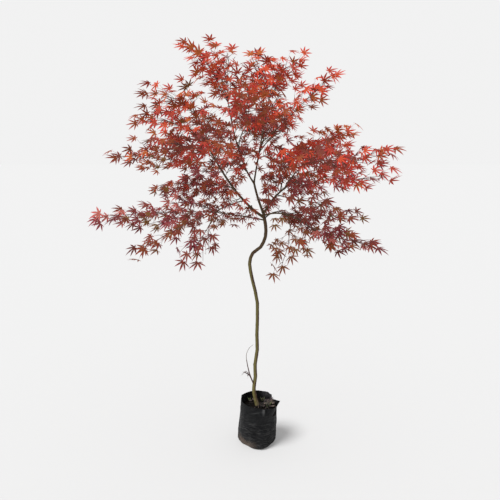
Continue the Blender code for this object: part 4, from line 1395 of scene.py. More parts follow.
@dataclass
class Spray:
    """A mass of foliage: an arching stem, pairs of shoots across it, their twiglets, and leaves on all."""

    name: str
    foot: Vector
    leaving: Vector
    foot_radius: float
    tip: Vector
    half_width: float
    half_depth: float
    arch: float
    pairs: int
    palette: Palette
    seed: int
    rule: Rule
    stem: Route = field(init=False)
    marks: list[Vector] = field(init=False)  # points of the stem that distances are measured from
    last_leaf: float = field(init=False)
    draw: random.Random = field(init=False)
    twigs: list[Twig] = field(default_factory=list)
    buds: list[Bud] = field(default_factory=list)

    def __post_init__(self) -> None:
        """Works out the stem."""
        self.draw = random.Random(self.seed)
        start, leaving = self.foot, self.leaving
        self.last_leaf = self.rule.leaf_size(self.tip)
        inner_tip = self.tip - (self.tip - start).normalized() * self.last_leaf * (1 + self.rule.stalk[0])
        raised = start.lerp(inner_tip, 0.5) + UP * self.arch * 2
        straight_on = start + leaving * (inner_tip - start).length / 2
        self.stem = bent(start - leaving * 0.004, raised.lerp(straight_on, 0.35), inner_tip, 14)
        wander = Vector((self.seed * 1.7, 0.3, 0.9))
        for index in range(2, len(self.stem) - 1):
            self.stem[index] += sway(self.stem[index] * self.rule.sway_rate + wander) * self.rule.sway
        self.marks = [along(self.stem, mark / STEM_MARKS)[0] for mark in range(STEM_MARKS + 1)]

    def narrowing(self, share: float) -> float:
        """How wide the mass is at a share of its stem, against its widest."""
        swell = math.sin(math.pi * (self.rule.swell_at_foot + (1 - self.rule.swell_at_foot) * share))
        return self.rule.spread_at_tip + (1 - self.rule.spread_at_tip) * swell

    def holds(self, point: Vector) -> bool:
        """Is a point in this mass's own space?

        Args:
            point: the point.

        Returns:
            Whether it is.
        """
        axis = self.stem[-1] - self.stem[0]
        share = (point - self.stem[0]).dot(axis) / axis.length_squared
        if share < -self.rule.behind_foot:
            return False
        inside = min(1.0, max(0.0, share))
        centre = self.marks[round(inside * STEM_MARKS)].lerp(along(self.stem, inside)[0], 0.7)
        _, side, lift = square_frame(axis)
        away = point - centre
        beyond = max(0.0, share - 1) * axis.length / (self.last_leaf * (1 + self.rule.stalk[1]))
        width = self.narrowing(inside)
        across = away.dot(side) / (self.half_width * width)
        up = away.dot(lift) / (self.half_depth * width + self.rule.hanging_room)
        return across**2 + up**2 + beyond**2 < 1

    def nearest(self, point: Vector) -> float:
        """The distance from a point to this mass's stem."""
        return min((point - mark).length for mark in self.marks)

    def add_leaf_pair(self, twig: Twig, node: Vector, heading: Vector, tint: Tint) -> None:
        """Adds the buds of a pair of leaves across a twig.

        Args:
            twig: what they grow on.
            node: where.
            heading: the twig's direction there.
            tint: the tint of their shoot.
        """
        side = square_frame(heading)[1]
        side = (side + UP * self.draw.uniform(-0.5, 0.5)).normalized()
        for way in (1, -1):
            self.buds.append(Bud(twig, node, side * way + heading * self.draw.uniform(0.2, 0.7), tint))

    def add_tip(self, twig: Twig, tint: Tint) -> None:
        """Adds the buds of the three leaves at the end of a twig.

        Args:
            twig: what they grow on.
            tint: the tint of their shoot.
        """
        end = twig.route[-1]
        heading = (end - twig.route[-2]).normalized()
        self.buds.append(Bud(twig, end, heading + UP * self.draw.uniform(-0.2, 0.1), tint, tip=True))
        self.add_leaf_pair(twig, end - heading * 0.004, heading, tint)

    def leaf_tint(self, spray_tint: Tint) -> Tint:
        """A leaf's own tint: mostly its spray's, sometimes another of the palette."""
        return spray_tint if self.draw.random() < self.rule.own_tint else self.palette.draw(self.draw)

    def grow_shoot(self, foot: Vector, heading: Vector, length: float, tint: Tint) -> None:
        """Grows a shoot that leaves the stem, droops, and turns a little along the mass.

        Args:
            foot: where it starts.
            heading: which way it leaves.
            length: how long it gets.
            tint: its leaves' tint.
        """
        forward = (self.stem[-1] - self.stem[0]).normalized()
        end = foot + (heading * 0.9 + forward * 0.22 - UP * self.rule.shoot_droop).normalized() * length
        elbow = foot + heading * length * 0.55 + UP * length * 0.10
        shoot = Twig(bent(foot, elbow, end, 5), self.rule.shoot_radius, 4, self.twigs[0])
        self.twigs.append(shoot)
        count = int(length / (self.rule.node_gap * self.rule.leaf_size(foot)))
        for index in range(count):
            share = (index + 0.8) / (count + 0.6)
            node, direction = along(shoot.route, share)
            if self.draw.random() < self.rule.twiglet_share and share < 0.8:
                self.grow_twiglets(shoot, node, direction, tint)
            else:
                self.add_leaf_pair(shoot, node, direction, tint)
        self.add_tip(shoot, tint)

    def grow_twiglets(self, shoot: Twig, node: Vector, direction: Vector, tint: Tint) -> None:
        """Grows a pair of short twigs across a shoot, each with leaves at its end.

        Args:
            shoot: what they grow on.
            node: where.
            direction: the shoot's direction there.
            tint: the shoot's tint.
        """
        forward, side, lift = square_frame(direction)
        turn = self.draw.uniform(-0.7, 0.7)
        for way in (1, -1):
            out = (side * math.cos(turn) + lift * math.sin(turn)) * way
            heading = (forward * 0.75 + out * 0.75).normalized()
            end = node + heading * self.rule.leaf_size(node) * self.draw.uniform(*self.rule.twiglet_length)
            if self.holds(end):
                route = [node, node.lerp(end, 0.5) + UP * 0.002, end]
                self.twigs.append(Twig(route, self.rule.twiglet_radius, 3, shoot))
                self.add_tip(self.twigs[-1], tint)

    def grow_twigs(self, taken: Taken) -> None:
        """Grows the stem, its shoots and their twiglets.

        Args:
            taken: the limbs; a shoot that would touch one is left out.
        """
        rule = self.rule
        stem = Twig(self.stem, (self.foot_radius, rule.stem_tip), 6)
        self.twigs.append(stem)
        count = round(self.pairs * rule.pairs_for_one)
        for pair in range(count):
            share = rule.first_pair + (1 - rule.first_pair) * (pair + 0.35) / count
            root, direction = along(self.stem, share)
            forward, side, lift = square_frame(direction)
            turn = (pair % 2) * rule.pair_turn + self.draw.uniform(-1, 1) * rule.jitter
            for way in (1, -1):
                tint = self.palette.draw(self.draw)
                out = (side * math.cos(turn) + lift * math.sin(turn)) * way
                size = math.hypot(self.half_width * math.cos(turn), self.half_depth * math.sin(turn))
                room = size * self.narrowing(share) / math.sin(rule.shoot_angle)
                length = room - rule.leaf_size(root) * rule.leaf_margin
                length = max(rule.shortest_shoot, length * self.draw.uniform(*rule.shoot_growth))
                heading = forward * math.cos(rule.shoot_angle) + out * math.sin(rule.shoot_angle)
                heading = heading.normalized()
                trial = [root + heading * 0.012, root + heading * length]
                corners, faces = tube(trial, lambda _: rule.shoot_radius[0], 3)
                if not taken.touches(np.array(corners), faces):
                    self.grow_shoot(root, heading, length, tint)
            if pair % 2:
                between = along(self.stem, min(1.0, share + 0.4 / count))[0]
                self.add_leaf_pair(stem, between, direction, tint)
        self.add_tip(stem, self.palette.draw(self.draw))

    def in_box(self, corners: np.ndarray) -> bool:
        """Are all the corners within the frame's own box?"""
        return bool((corners > self.rule.box[0]).all() and (corners < self.rule.box[1]).all())

    def leaf_at(self, bud: Bud, kit: LeafKit, taken: Taken, others: Sequence[Spray]) -> Leaf | None:
        """A leaf that keeps to this mass's space and touches nothing.

        Args:
            bud: where it grows.
            kit: the leaf shapes.
            taken: what it has to stay clear of, and is added to.
            others: the other masses, whose space it leaves alone.

        Returns:
            The leaf, or None where there is no room.
        """
        rule, draw = self.rule, self.draw
        outward = bud.outward.normalized()
        away = (bud.root - Vector(rule.heart)).normalized() * rule.outwards
        for _ in range(rule.tries):
            size = rule.leaf_size(bud.root) * (1 + draw.uniform(-1, 1) * rule.leaf_spread)
            stalk_way = (outward + UP * rule.stalk_rise).normalized()
            middle = bud.root + stalk_way * size * draw.uniform(*rule.stalk)
            way = -math.pi / 2 if draw.random() < rule.front_share else math.pi / 2
            way += draw.gauss(0.0, rule.face_spread)
            tilt = draw.uniform(*rule.face_tilt)
            face = Vector((math.cos(way) * math.cos(tilt), math.sin(way) * math.cos(tilt), math.sin(tilt)))
            hanging = outward + away - UP * draw.uniform(*rule.droop)
            forward = (hanging - face * hanging.dot(face)).normalized()
            side = forward.cross(face)
            shape = draw.randrange(kit.count)
            leaf = Leaf(bud.root, middle, side, forward, face, size, shape, self.leaf_tint(bud.tint))
            centre = middle + forward * size * 0.5
            if not self.holds(middle + forward * size):
                continue
            if taken.crowded(centre, size * rule.elbow(centre)):
                continue
            own = self.nearest(centre)
            if any(other.nearest(centre) < own for other in others):
                continue
            corners = leaf.corners(kit)[[0, *kit.outline]]
            if self.in_box(corners) and not taken.touches(corners, kit.fan):
                taken.add(corners, kit.fan)
                taken.centres.setdefault(taken.cell_of(centre), []).append(centre)
                bud.twig.bear()
                return leaf
        return None


@dataclass
class Crown:
    """All the foliage: the masses, and the joined pieces that their twigs, stalks and leaves make."""

    framework: Framework
    rule: Rule
    kit: LeafKit = field(default_factory=LeafKit)
    sprays: list[Spray] = field(default_factory=list)
    leaves: dict[str, list[Leaf]] = field(default_factory=lambda: {"leaves_outer": [], "leaves_inner": []})
    inner_foot: float = 0.0017  # the radius of an inner spray where it starts
    inner_hug: float = 0.4  # how closely it first follows its bough
    wood: TwigFinish = TwigFinish("twigs", (0.105, 0.038, 0.028))
    stalk: TwigFinish = TwigFinish("leaf_stalks", (0.30, 0.045, 0.035), 0.5)

    def plant(self) -> None:
        """Sets out the masses at their boughs' tips, and then the small sprays inside the crown."""
        limbs = self.framework.limbs
        for seed, (name, bough, tip, *shape, palette) in enumerate(FOLIAGE, FIRST_SEED):
            end, direction = along(limbs[bough].route, 1.0)
            start = (name, end, direction, limbs[bough].radius(1.0), Vector(tip))
            self.sprays.append(Spray(*start, *shape, Palette[palette], seed, self.rule))
        for seed, row in enumerate(INNER, FIRST_SEED + len(FOLIAGE)):
            bough, share, tip, width, depth, pairs, palette = row
            foot, direction = along(limbs[bough].route, share)
            out = (direction * self.inner_hug + (Vector(tip) - foot).normalized()).normalized()
            start = (f"inner_{seed}", foot, out, self.inner_foot, Vector(tip))
            shape = (width, depth, 0.0, pairs)
            self.sprays.append(Spray(*start, *shape, Palette[palette], seed, self.rule))

    def leaf_out(self, spray: Spray, masses: Sequence[Spray], taken: Taken) -> None:
        """Grows the leaves of one spray, those at the tips of its twigs first.

        Args:
            spray: the spray.
            masses: the frame's masses, each of which leaves the others' space alone.
            taken: what the leaves have to stay clear of, and are added to.
        """
        others = [other for other in masses if other is not spray] if spray in masses else []
        buds = sorted(spray.buds, key=lambda bud: not bud.tip)
        grown = [spray.leaf_at(bud, self.kit, taken, others) for bud in buds]
        kept = [leaf for leaf in grown if leaf]
        self.leaves["leaves_outer" if spray in masses else "leaves_inner"] += kept
        found = (spray.name, len(spray.twigs), len(kept), len(buds))
        LOG.info("foliage_%s: %d twigs, %d of %d leaves", *found)

    def grow(self) -> None:
        """Grows every spray: first all the twigs, and then the leaves between them."""
        taken = Taken()
        for limb in self.framework.limbs.values():
            taken.add_limb(limb.route[:-1], limb.radius, 5)
        self.plant()
        for spray in self.sprays:
            spray.grow_twigs(taken)
        for twig in (twig for spray in self.sprays for twig in spray.twigs):
            taken.add_limb(twig.route, twig.radius, 3)
        masses = self.sprays[: len(FOLIAGE)]
        for spray in self.sprays:
            self.leaf_out(spray, masses, taken)

    def build(self) -> None:
        """Joins the twigs, the stalks and the leaves, each kind apart."""
        nodes = [f"foliage_{name}" for name, *_ in FOLIAGE]
        wood = Pile()
        for twig in (twig for spray in self.sprays for twig in spray.twigs if twig.bears):
            wood.add(*tube(twig.route, twig.radius, twig.sides))
        dress(wood.build("twigs", [self.wood.build()]), nodes)
        stalks = Pile()
        for leaf in (leaf for leaves in self.leaves.values() for leaf in leaves):
            stalks.add(*leaf.stalk(self.rule.stalk_radius))
        dress(stalks.build("leaf_stalks", [self.stalk.build()]))
        tints = list(Tint)
        materials = [material for tint in tints for material in tint.materials()]
        for name, leaves in self.leaves.items():
            blades = Pile()
            for leaf in leaves:
                lobe = 2 * tints.index(leaf.tint)
                finish = [lobe + heart for heart in self.kit.heart]
                blades.add(leaf.corners(self.kit), self.kit.faces, finish)
            dress(blades.build(name, materials, smooth=False), nodes)
            LOG.info("%s: %d leaves", name, len(leaves))


# -------- bag, compost and litter


def angle_apart(angle: float, other: float) -> float:
    """The difference of two angles, between -pi and pi."""
    return (angle - other + math.pi) % (2 * math.pi) - math.pi


def hump(angle: float, middle: float, width: float) -> float:
    """1 at the middle angle, falling to 0 on both sides."""
    return math.exp(-((angle_apart(angle, middle) / width) ** 2))


def inward(mesh: bpy.types.Mesh) -> bool:
    """Do the faces of an open vessel look inward?"""
    return sum(face.normal.x * face.center.x + face.normal.y * face.center.y for face in mesh.polygons) < 0


@dataclass
class GrowBag:
    """The film bag: creased walls, a tuck at the front, a folded bottom corner and an ear at the rim."""

    radius: float = 0.097
    lean: float = 0.012
    rim: float = 0.230
    cut: tuple[Span, ...] = (  # the rim's height at angles from the right side
        *((-180, 0.2470), (-158, 0.2380), (-117, 0.2310), (-92, 0.2270), (-55, 0.2170), (-30, 0.2095)),
        *((-10, 0.2080), (0, 0.2240), (16, 0.2165), (38, 0.2060), (44, 0.2290), (60, 0.2340)),
        *((90, 0.2400), (120, 0.2395), (150, 0.2420), (180, 0.2470)),
    )
    compost_edge: float = 0.194
    profile: tuple[Span, ...] = (  # the radius at some heights, against the bag's own
        *((0.0, 0.87), (0.006, 0.955), (0.018, 1.01), (0.06, 1.02), (0.12, 1.0), (0.194, 0.985)),
    )
    segments: int = 180
    levels: int = 104
    film: float = 0.0006
    ear_reach: float = 0.018
    corner_reach: float = 0.005
    flat_side: float = 0.023
    left_edge: float = 0.005
    crease: float = 0.0021
    crease_gap: float = 0.0088
    creased_below: float = 0.17
    tuck: float = 0.0062
    tuck_at: float = math.radians(-75.5)
    dent: float = 0.006
    dent_at: float = math.radians(-67)
    fold: float = 0.0030
    fold_height: float = 0.201
    full_ridge: float = 0.004  # how high a ridge is that gets the film's full painted highlight
    floor_inset: float = 0.93
    nicks: float = 0.0012
    lumps: float = 0.0030
    upright: float = 0.0010
    crumple: float = 0.0085
    crumpled_at: float = math.radians(60)
    calm_below: float = 0.01

    def rim_height(self, angle: float) -> float:
        """The uneven cut edge of the bag."""
        nicks = self.nicks * noise.noise(Vector((math.cos(angle), math.sin(angle), 0)) * 9)
        return read_off(self.cut, math.degrees(angle)) + nicks

    def ridges(self, angle: float, height: float) -> float:
        """How far the film stands out in sharp ridges: creases, the tuck at the front, a dent and a fold.

        Args:
            angle: round the bag, from its right side towards its back.
            height: over the ground.

        Returns:
            The distance in metres.
        """
        place = Vector((math.cos(angle), math.sin(angle), 0)) * self.radius + UP * height
        waver = 0.010 * noise.noise(place * 26)
        patchy = max(0.0, noise.noise(place * 17 + Vector((0, 5, 0))) + 0.5)
        strength = max(0.0, 1 - height / self.creased_below) * (0.4 + 0.6 * patchy)
        level = self.crease * math.sin((height + waver) * 2 * math.pi / self.crease_gap) * strength
        under_rim = max(0.0, 1 - (self.rim_height(angle) - height) / 0.042)
        tuck = self.tuck * hump(angle, self.tuck_at, 0.070) * min(1.0, under_rim * 1.6)
        beside = -self.dent * hump(angle, self.dent_at, 0.06) * under_rim
        sweep = math.radians(-89) - (0.206 - height) * 34.0
        fold = self.fold * hump(angle, sweep, 0.14) * max(0.0, 1 - abs(height - self.fold_height) / 0.014)
        return level + tuck + beside + fold

    def creases(self, angle: float, height: float) -> float:
        """How far the film stands off its plain shape, with its lumps, ridges and crumpled back.

        Args:
            angle: round the bag, from its right side towards its back.
            height: over the ground.

        Returns:
            The distance in metres.
        """
        around = Vector((math.cos(angle), math.sin(angle), 0)) * self.radius
        place = around + UP * height
        lumps = self.lumps * noise.noise(place * 20 + Vector((3.1, 0, 0)))
        under_rim = max(0.0, 1 - (self.rim_height(angle) - height) / 0.055)
        upright = self.upright * noise.noise(Vector((around.x * 90, around.y * 90, height * 7)))
        upright *= height / self.rim
        at_back = hump(angle, self.crumpled_at, 0.75)
        crumple = self.crumple * noise.noise(place * 48 + Vector((0, 0, 7))) * at_back * under_rim
        return lumps + self.ridges(angle, height) + upright + crumple

    def place(self, angle: float, share: float) -> Vector:
        """A point of the outer wall.

        Args:
            angle: round the bag, from its right side towards its back.
            share: of the way from the bottom to the rim.

        Returns:
            The point.
        """
        height = share * self.rim_height(angle)
        plain = read_off(self.profile, height)
        fade = max(0.0, 1 - abs(height - 0.018) / 0.06)
        corners = hump(angle, math.radians(172), 0.14) + hump(angle, math.radians(-76), 0.22)
        flats = hump(angle, math.radians(228), 0.50) + 0.35 * hump(angle, math.radians(-32), 0.30)
        corner = self.corner_reach * corners * fade
        corner -= self.flat_side * flats * fade
        edge = math.radians(176 - 14 * height / self.rim)
        corner += self.left_edge * (hump(angle, edge, 0.12) - hump(angle, edge, 0.60))
        rise = max(0.0, (height - self.compost_edge) / (self.rim - self.compost_edge))
        ear = self.ear_reach * hump(angle, 0.0, 0.10) * rise
        calm = min(1.0, height / self.calm_below)
        radius = self.radius * plain + corner + ear + self.creases(angle, height) * calm
        shift = self.lean * height / self.rim
        return Vector((shift + radius * math.cos(angle), radius * math.sin(angle), height))

    def build(self) -> Thing:
        """Builds the bag.

        Returns:
            The piece that stands for the grow bag.
        """
        bpy.ops.object.select_all(action="DESELECT")
        bpy.ops.mesh.primitive_circle_add(vertices=self.segments, radius=self.radius, fill_type="NOTHING")
        piece = bpy.context.object
        piece.name = piece.data.name = "film_bag"
        with edited():
            bpy.ops.mesh.select_all(action="SELECT")
            step = (0, 0, self.rim / self.levels)
            for _ in range(self.levels):
                bpy.ops.mesh.extrude_region_move(TRANSFORM_OT_translate={"value": step})
        mesh = piece.data
        # The ridges' heights, stored for the film's painted highlight on its ridges.
        worn = mesh.attributes.new("worn", "FLOAT", "POINT")
        for vertex in mesh.vertices:
            angle = math.atan2(vertex.co.y, vertex.co.x)
            share = min(1.0, vertex.co.z / self.rim)
            vertex.co = self.place(angle, share)
            ridge = self.ridges(angle, share * self.rim_height(angle))
            worn.data[vertex.index].value = ridge / self.full_ridge
        with edited():
            bpy.ops.mesh.select_all(action="DESELECT")
            bpy.ops.mesh.select_mode(type="VERT")
        for vertex in mesh.vertices:
            vertex.select = vertex.co.z < 1e-6
        with edited():
            bpy.ops.mesh.extrude_region_move()
            bpy.ops.transform.resize(value=(self.floor_inset, self.floor_inset, 1.0))
            bpy.ops.mesh.edge_face_add()
        turn_outward()
        apply_modifier(piece, "SOLIDIFY", thickness=self.film, offset=1.0 if inward(mesh) else -1.0)
        mesh.materials.append(FilmFinish().build())
        return dress(piece, ["grow_bag"])


@dataclass
class Compost:
    """The compost's crumbly top, down to where the film hides it."""

    top: float = COMPOST_TOP
    radius: float = 0.0945
    lean: float = 0.0101
    skirt: float = 0.03
    crumbs: float = 0.0045
    rings: int = 22

    def height(self, x: float, y: float) -> float:
        """The height of the surface above its own level.

        Args:
            x: how far right.
            y: how far back.

        Returns:
            The height at that place.
        """
        around = math.hypot(x - self.lean, y) / self.radius
        slump = -0.006 * max(0.0, (around - 0.55) / 0.45)
        heap = 0.011 * math.exp(-(((x - 0.066) / 0.030) ** 2 + ((y + 0.002) / 0.045) ** 2))
        place = Vector((x, y, 0.4))
        crumb = self.crumbs * (noise.noise(place * 60) + 0.6 * noise.noise(place * 150))
        stem = math.exp(-((math.hypot(x - 0.003, y) / 0.02) ** 2))
        return slump + heap + crumb * (1 - 0.7 * stem)

    def build(self) -> Thing:
        """Builds the surface and its skirt.

        Returns:
            The piece that stands for the compost.
        """
        bpy.ops.object.select_all(action="DESELECT")
        place = (self.lean, 0, self.top)
        bpy.ops.mesh.primitive_circle_add(vertices=96, radius=self.radius, fill_type="NGON", location=place)
        piece = bpy.context.object
        piece.name = piece.data.name = "compost_top"
        bpy.ops.object.transform_apply(location=True)
        with edited():
            bpy.ops.mesh.select_mode(type="FACE")
            bpy.ops.mesh.select_all(action="SELECT")
            for _ in range(self.rings):
                bpy.ops.mesh.inset(thickness=self.radius / (self.rings + 2))
        mesh = piece.data
        for vertex in mesh.vertices:
            vertex.co.z += self.height(vertex.co.x, vertex.co.y)
        with edited():
            bpy.ops.mesh.select_all(action="DESELECT")
            bpy.ops.mesh.select_mode(type="EDGE")
            bpy.ops.mesh.select_non_manifold(extend=False, use_boundary=True)
            bpy.ops.mesh.extrude_region_move(TRANSFORM_OT_translate={"value": (0, 0, -self.skirt)})
            bpy.ops.mesh.edge_face_add()
        turn_outward()
        mesh.materials.append(SoilFinish().build())
        return dress(piece, ["compost"])


@dataclass
class Litter:
    """Dead leaves, a few bits of stick and some green weed on the compost."""

    kit: LeafKit
    compost: Compost
    seed: int = 7
    leaves: int = 84
    sticks: int = 9
    heaped: float = 0.85  # of the leaves, which lie on the right
    size: Span = (0.011, 0.021)
    curl: Span = (10.0, 34.0)
    stick: float = 0.0011
    # Two of these are near black: dead leaves that are partly their own dark colour and partly painted
    # shade in the gaps of the heap.
    browns: tuple[Colour, ...] = (
        *((0.042, 0.030, 0.026), (0.004, 0.003, 0.003), (0.135, 0.100, 0.082)),
        *((0.065, 0.046, 0.048), (0.008, 0.006, 0.005)),
    )
    green: Colour = (0.120, 0.155, 0.050)
    weeds: tuple[Place, ...] = (  # how far right, how far back and how tall
        *((0.054, -0.036, 0.026), (0.062, -0.028, 0.024)),
        *((-0.036, 0.056, 0.018), (0.036, 0.046, 0.022)),
    )
    blades: int = 5
    pile: Pile = field(default_factory=Pile)
    draw: random.Random = field(init=False)

    def __post_init__(self) -> None:
        """Starts the draws."""
        self.draw = random.Random(self.seed)

    def add_leaf(self, index: int) -> None:
        """Adds a dead leaf, unless it would lie against the trunk or the film.

        Args:
            index: its number.
        """
        draw = self.draw
        right = index < self.leaves * self.heaped
        x = draw.gauss(0.058, 0.022) if right else draw.uniform(-0.045, 0.08)
        y = draw.gauss(-0.006, 0.032) if right else draw.uniform(0.035, 0.065)
        if math.hypot(x - 0.012, y) > 0.078 or math.hypot(x - 0.003, y) < 0.022 or y < -0.058:
            return
        z = self.compost.top + self.compost.height(x, y) + draw.uniform(0.004, 0.016 if right else 0.007)
        heading = draw.uniform(0, 2 * math.pi)
        forward = Vector((math.cos(heading), math.sin(heading), draw.uniform(-0.35, 0.35))).normalized()
        lean = Vector((draw.uniform(-0.6, 0.6), draw.uniform(-0.6, 0.6), 0))
        side = forward.cross(UP + lean).normalized()
        size = draw.uniform(*self.size)
        middle = Vector((x, y, z))
        shape = index % self.kit.count
        leaf = Leaf(middle, middle, side, forward, side.cross(forward), size, shape, Tint.RUSSET)
        corners = leaf.corners(self.kit)
        corners[:, 2] += ((corners - np.array(middle)) ** 2).sum(1) * draw.uniform(*self.curl)
        self.pile.add(corners, self.kit.faces, index % len(self.browns))

    def add_stick(self) -> None:
        """Adds a bit of stick, unless it would reach the film."""
        draw = self.draw
        foot = Vector((draw.uniform(-0.05, 0.075), draw.uniform(-0.06, 0.05), 0))
        foot.z = self.compost.top + self.compost.height(foot.x, foot.y) + 0.003
        turn = draw.uniform(0, 2 * math.pi)
        run = Vector((math.cos(turn), math.sin(turn), draw.uniform(-0.05, 0.25)))
        run *= draw.uniform(0.012, 0.03)
        if math.hypot(foot.x + run.x - 0.012, foot.y + run.y) < 0.08:
            finish = draw.randrange(len(self.browns))
            self.pile.add(*tube([foot, foot + run], lambda _: self.stick, 5), finish)

    def add_weed(self, x: float, y: float, height: float) -> None:
        """Adds a small tuft of narrow green blades.

        Args:
            x: how far right it stands.
            y: how far back.
            height: how tall it is.
        """
        draw = self.draw
        for _ in range(self.blades):
            spot = (x + draw.uniform(-0.004, 0.004), y + draw.uniform(-0.004, 0.004))
            foot = Vector((*spot, self.compost.top - 0.002))
            foot.z += self.compost.height(foot.x, foot.y)
            out = Vector((draw.uniform(-1, 1), draw.uniform(-1, 1), 0)) * height * 0.7
            tip = foot + out + UP * height
            side = out.cross(UP).normalized() * 0.0014
            middle = foot.lerp(tip, 0.5) + UP * height * 0.15
            self.pile.add([foot, middle - side, tip, middle + side], [(0, 1, 2, 3)], len(self.browns))

    def build(self) -> Thing:
        """Builds the litter.

        Returns:
            The piece, which lies on the compost.
        """
        for index in range(self.leaves):
            self.add_leaf(index)
        for _ in range(self.sticks):
            self.add_stick()
        for weed in self.weeds:
            self.add_weed(*weed)
        finishes = [TwigFinish(f"dead_leaf_{i}", colour, 0.8) for i, colour in enumerate(self.browns)]
        finishes.append(TwigFinish("weed", self.green, 0.5))
        piece = self.pile.build("leaf_litter", [finish.build() for finish in finishes], smooth=False)
        return dress(piece)


@dataclass
class FootShoot:
    """The thin whip low on the trunk, with a few withered leaves."""

    framework: Framework
    kit: LeafKit
    start_share: float = 0.105
    bends: tuple[Place, ...] = (
        *((-0.035, -0.012, 0.374), (-0.049, -0.018, 0.440), (-0.052, -0.020, 0.484)),
        *((-0.039, -0.018, 0.516), (-0.018, -0.012, 0.535)),
    )
    seed: int = 11
    side_twig: Place = (-0.052, -0.017, 0.393)
    leaves: tuple[Span, ...] = ((0.034, 0.5), (0.030, -0.6), (0.030, -0.9), (0.030, 1.2))  # length and hang
    shrivelled: float = 0.45  # how wide they still are, against a fresh leaf
    colour: TwigFinish = TwigFinish("withered", (0.070, 0.026, 0.021), 0.6)
    pale: TwigFinish = TwigFinish("dry_whip", (0.16, 0.13, 0.11), 0.7)

    def build(self) -> Thing:
        """Builds the whip and its leaves.

        Returns:
            The piece that stands for the frame's foot shoot.
        """
        start = along(self.framework.limbs["trunk"].route, self.start_share)[0]
        whip = through([start, *(Vector(bend) for bend in self.bends)], 30)
        pile = Pile()
        dark = whip[:15]
        pile.add(*tube(dark, lambda share: 0.0038 - 0.0020 * share, 6), 0)
        pile.add(*tube(whip[14:], lambda share: 0.0016 - 0.0008 * share, 5), 1)
        fork = dark[3]
        end = Vector(self.side_twig)
        side = bent(fork, fork.lerp(end, 0.5) + UP * 0.006, end, 6)
        pile.add(*tube(side, lambda share: 0.0028 - 0.0014 * share, 5), 0)
        draw = random.Random(self.seed)
        spots = (side[-1], side[4], side[3], dark[7])
        for place, (size, hang) in zip(spots, self.leaves):
            heading = draw.uniform(2.6, 3.9)
            level = Vector((math.cos(heading), math.sin(heading) * 0.6, 0)).normalized()
            forward = level * math.cos(hang) - UP * math.sin(hang)
            across = forward.cross(UP).normalized()
            face = across.cross(forward)
            middle, side_axis = place + level * 0.004, across * self.shrivelled
            leaf = Leaf(place, middle, side_axis, forward, face, size, draw.randrange(4), Tint.BURGUNDY)
            pile.add(leaf.corners(self.kit), self.kit.faces, 0)
        piece = pile.build("foot_whip", [self.colour.build(), self.pale.build()])
        return dress(piece, ["foot_shoot"])


# -------- studio


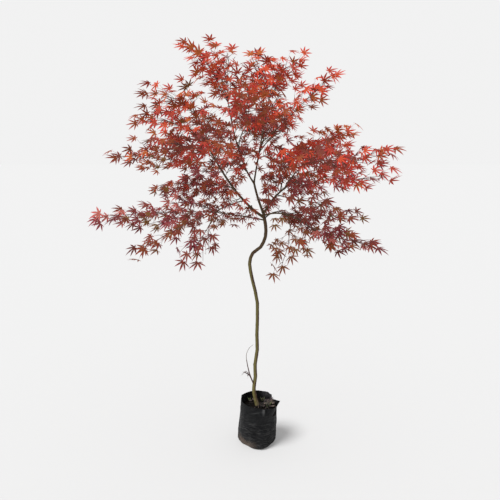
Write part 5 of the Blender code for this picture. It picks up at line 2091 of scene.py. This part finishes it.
@dataclass
class Studio:
    """A plain pale floor, soft light from the upper left and all round, and the camera."""

    floor_colour: float = 0.33
    floor_glow: float = 0.143
    backdrop: float = 0.885
    dome: float = 0.84
    sun: float = 2.3
    sun_angle: float = math.radians(30)
    sun_from: Place = (-0.50, -0.45, 0.74)
    floor_sun: float = 5.4
    floor_sun_angle: float = math.radians(28)
    floor_sun_from: Place = (-0.44, -0.37, 0.86)
    camera_at: Place = (-0.034, -2.7, 1.5)
    look_down: float = math.radians(10.1)
    lens: float = 40.0

    def build(self) -> None:
        """Builds the floor, the lights and the camera."""
        bpy.ops.object.select_all(action="DESELECT")
        bpy.ops.mesh.primitive_plane_add(size=120, location=(0, 0, 0))
        floor = bpy.context.object
        floor.name = "floor"
        look = Shading("floor")
        look.set(Base_Color=(self.floor_colour,) * 3, Roughness=0.95, Specular_IOR_Level=0.0)
        look.set(Emission_Color=(1.0, 1.0, 1.0), Emission_Strength=self.floor_glow)
        floor.data.materials.append(look.material)
        floor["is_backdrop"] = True
        self.light(floor)
        bpy.ops.object.camera_add(location=self.camera_at, rotation=(math.pi / 2 - self.look_down, 0, 0))
        camera = bpy.context.object
        camera.data.lens = self.lens
        bpy.context.scene.camera = camera
        bpy.context.scene.view_settings.view_transform = "Standard"

    def light(self, floor: Thing) -> None:
        """Builds the dome of soft light, a broad lamp for the plant and one for the floor round its bag.

        Args:
            floor: the floor, which has a lamp of its own.
        """
        world = bpy.data.worlds.new("studio")
        bpy.context.scene.world = world
        world.use_nodes = True
        tree = world.node_tree
        tree.nodes.clear()
        output = tree.nodes.new("ShaderNodeOutputWorld")
        mix = tree.nodes.new("ShaderNodeMixShader")
        seen = tree.nodes.new("ShaderNodeLightPath")
        for index, level in ((1, self.dome), (2, self.backdrop)):
            ground = tree.nodes.new("ShaderNodeBackground")
            ground.inputs["Color"].default_value = (level, level, level, 1.0)
            link(tree, ground.outputs["Background"], mix.inputs[index])
        link(tree, seen.outputs["Is Camera Ray"], mix.inputs[0])
        link(tree, mix.outputs["Shader"], output.inputs["Surface"])
        plant_lamp = self.lamp("plant_lamp", self.sun_from, self.sun, self.sun_angle)
        floor_lamp = self.lamp("floor_lamp", self.floor_sun_from, self.floor_sun, self.floor_sun_angle)
        plant_lamp.light_linking.receiver_collection = self.only("all_but_floor", floor, "EXCLUDE")
        floor_lamp.light_linking.receiver_collection = self.only("floor_only", floor, "INCLUDE")
        bag = bpy.data.objects["film_bag"]
        floor_lamp.light_linking.blocker_collection = self.only("bag_only", bag, "INCLUDE")

    def lamp(self, name: str, comes_from: Sequence[float], energy: float, angle: float) -> Thing:
        """A broad far lamp.

        Args:
            name: the lamp's name.
            comes_from: the direction that its light comes from.
            energy: its strength.
            angle: how wide it looks, which softens its shadows.

        Returns:
            The lamp.
        """
        bpy.ops.object.light_add(type="SUN", location=(0, 0, 4))
        lamp = bpy.context.object
        lamp.name = name
        lamp.rotation_euler = Vector(comes_from).to_track_quat("Z", "Y").to_euler()
        lamp.data.energy = energy
        lamp.data.angle = angle
        return lamp

    def only(self, name: str, thing: Thing, state: str) -> bpy.types.Collection:
        """A set for a lamp's links.

        Args:
            name: the set's name.
            thing: the one object in it.
            state: INCLUDE where the links are for that object alone, EXCLUDE where they leave it out.

        Returns:
            The set.
        """
        made = bpy.data.collections.new(name)
        made.objects.link(thing)
        made.collection_objects[0].light_linking.link_state = state
        return made


# -------- main


def as_lists(box: Sequence[Vector]) -> list[list[float]]:
    """A box's corners as plain lists of numbers."""
    return [[float(value) for value in corner] for corner in box]


def main() -> None:
    """Builds every piece round the frame."""
    logging.basicConfig(level=logging.INFO, format="%(message)s")
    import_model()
    bpy.ops.object.select_all(action="DESELECT")
    cad_box = as_lists(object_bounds())
    framework = Framework()
    framework.build()
    crown = Crown(framework, Rule(cad_box))
    crown.grow()
    crown.build()
    GrowBag().build()
    compost = Compost()
    compost.build()
    Litter(crown.kit, compost).build()
    FootShoot(framework, crown.kit).build()
    Studio().build()


if __name__ == "__main__":
    main()
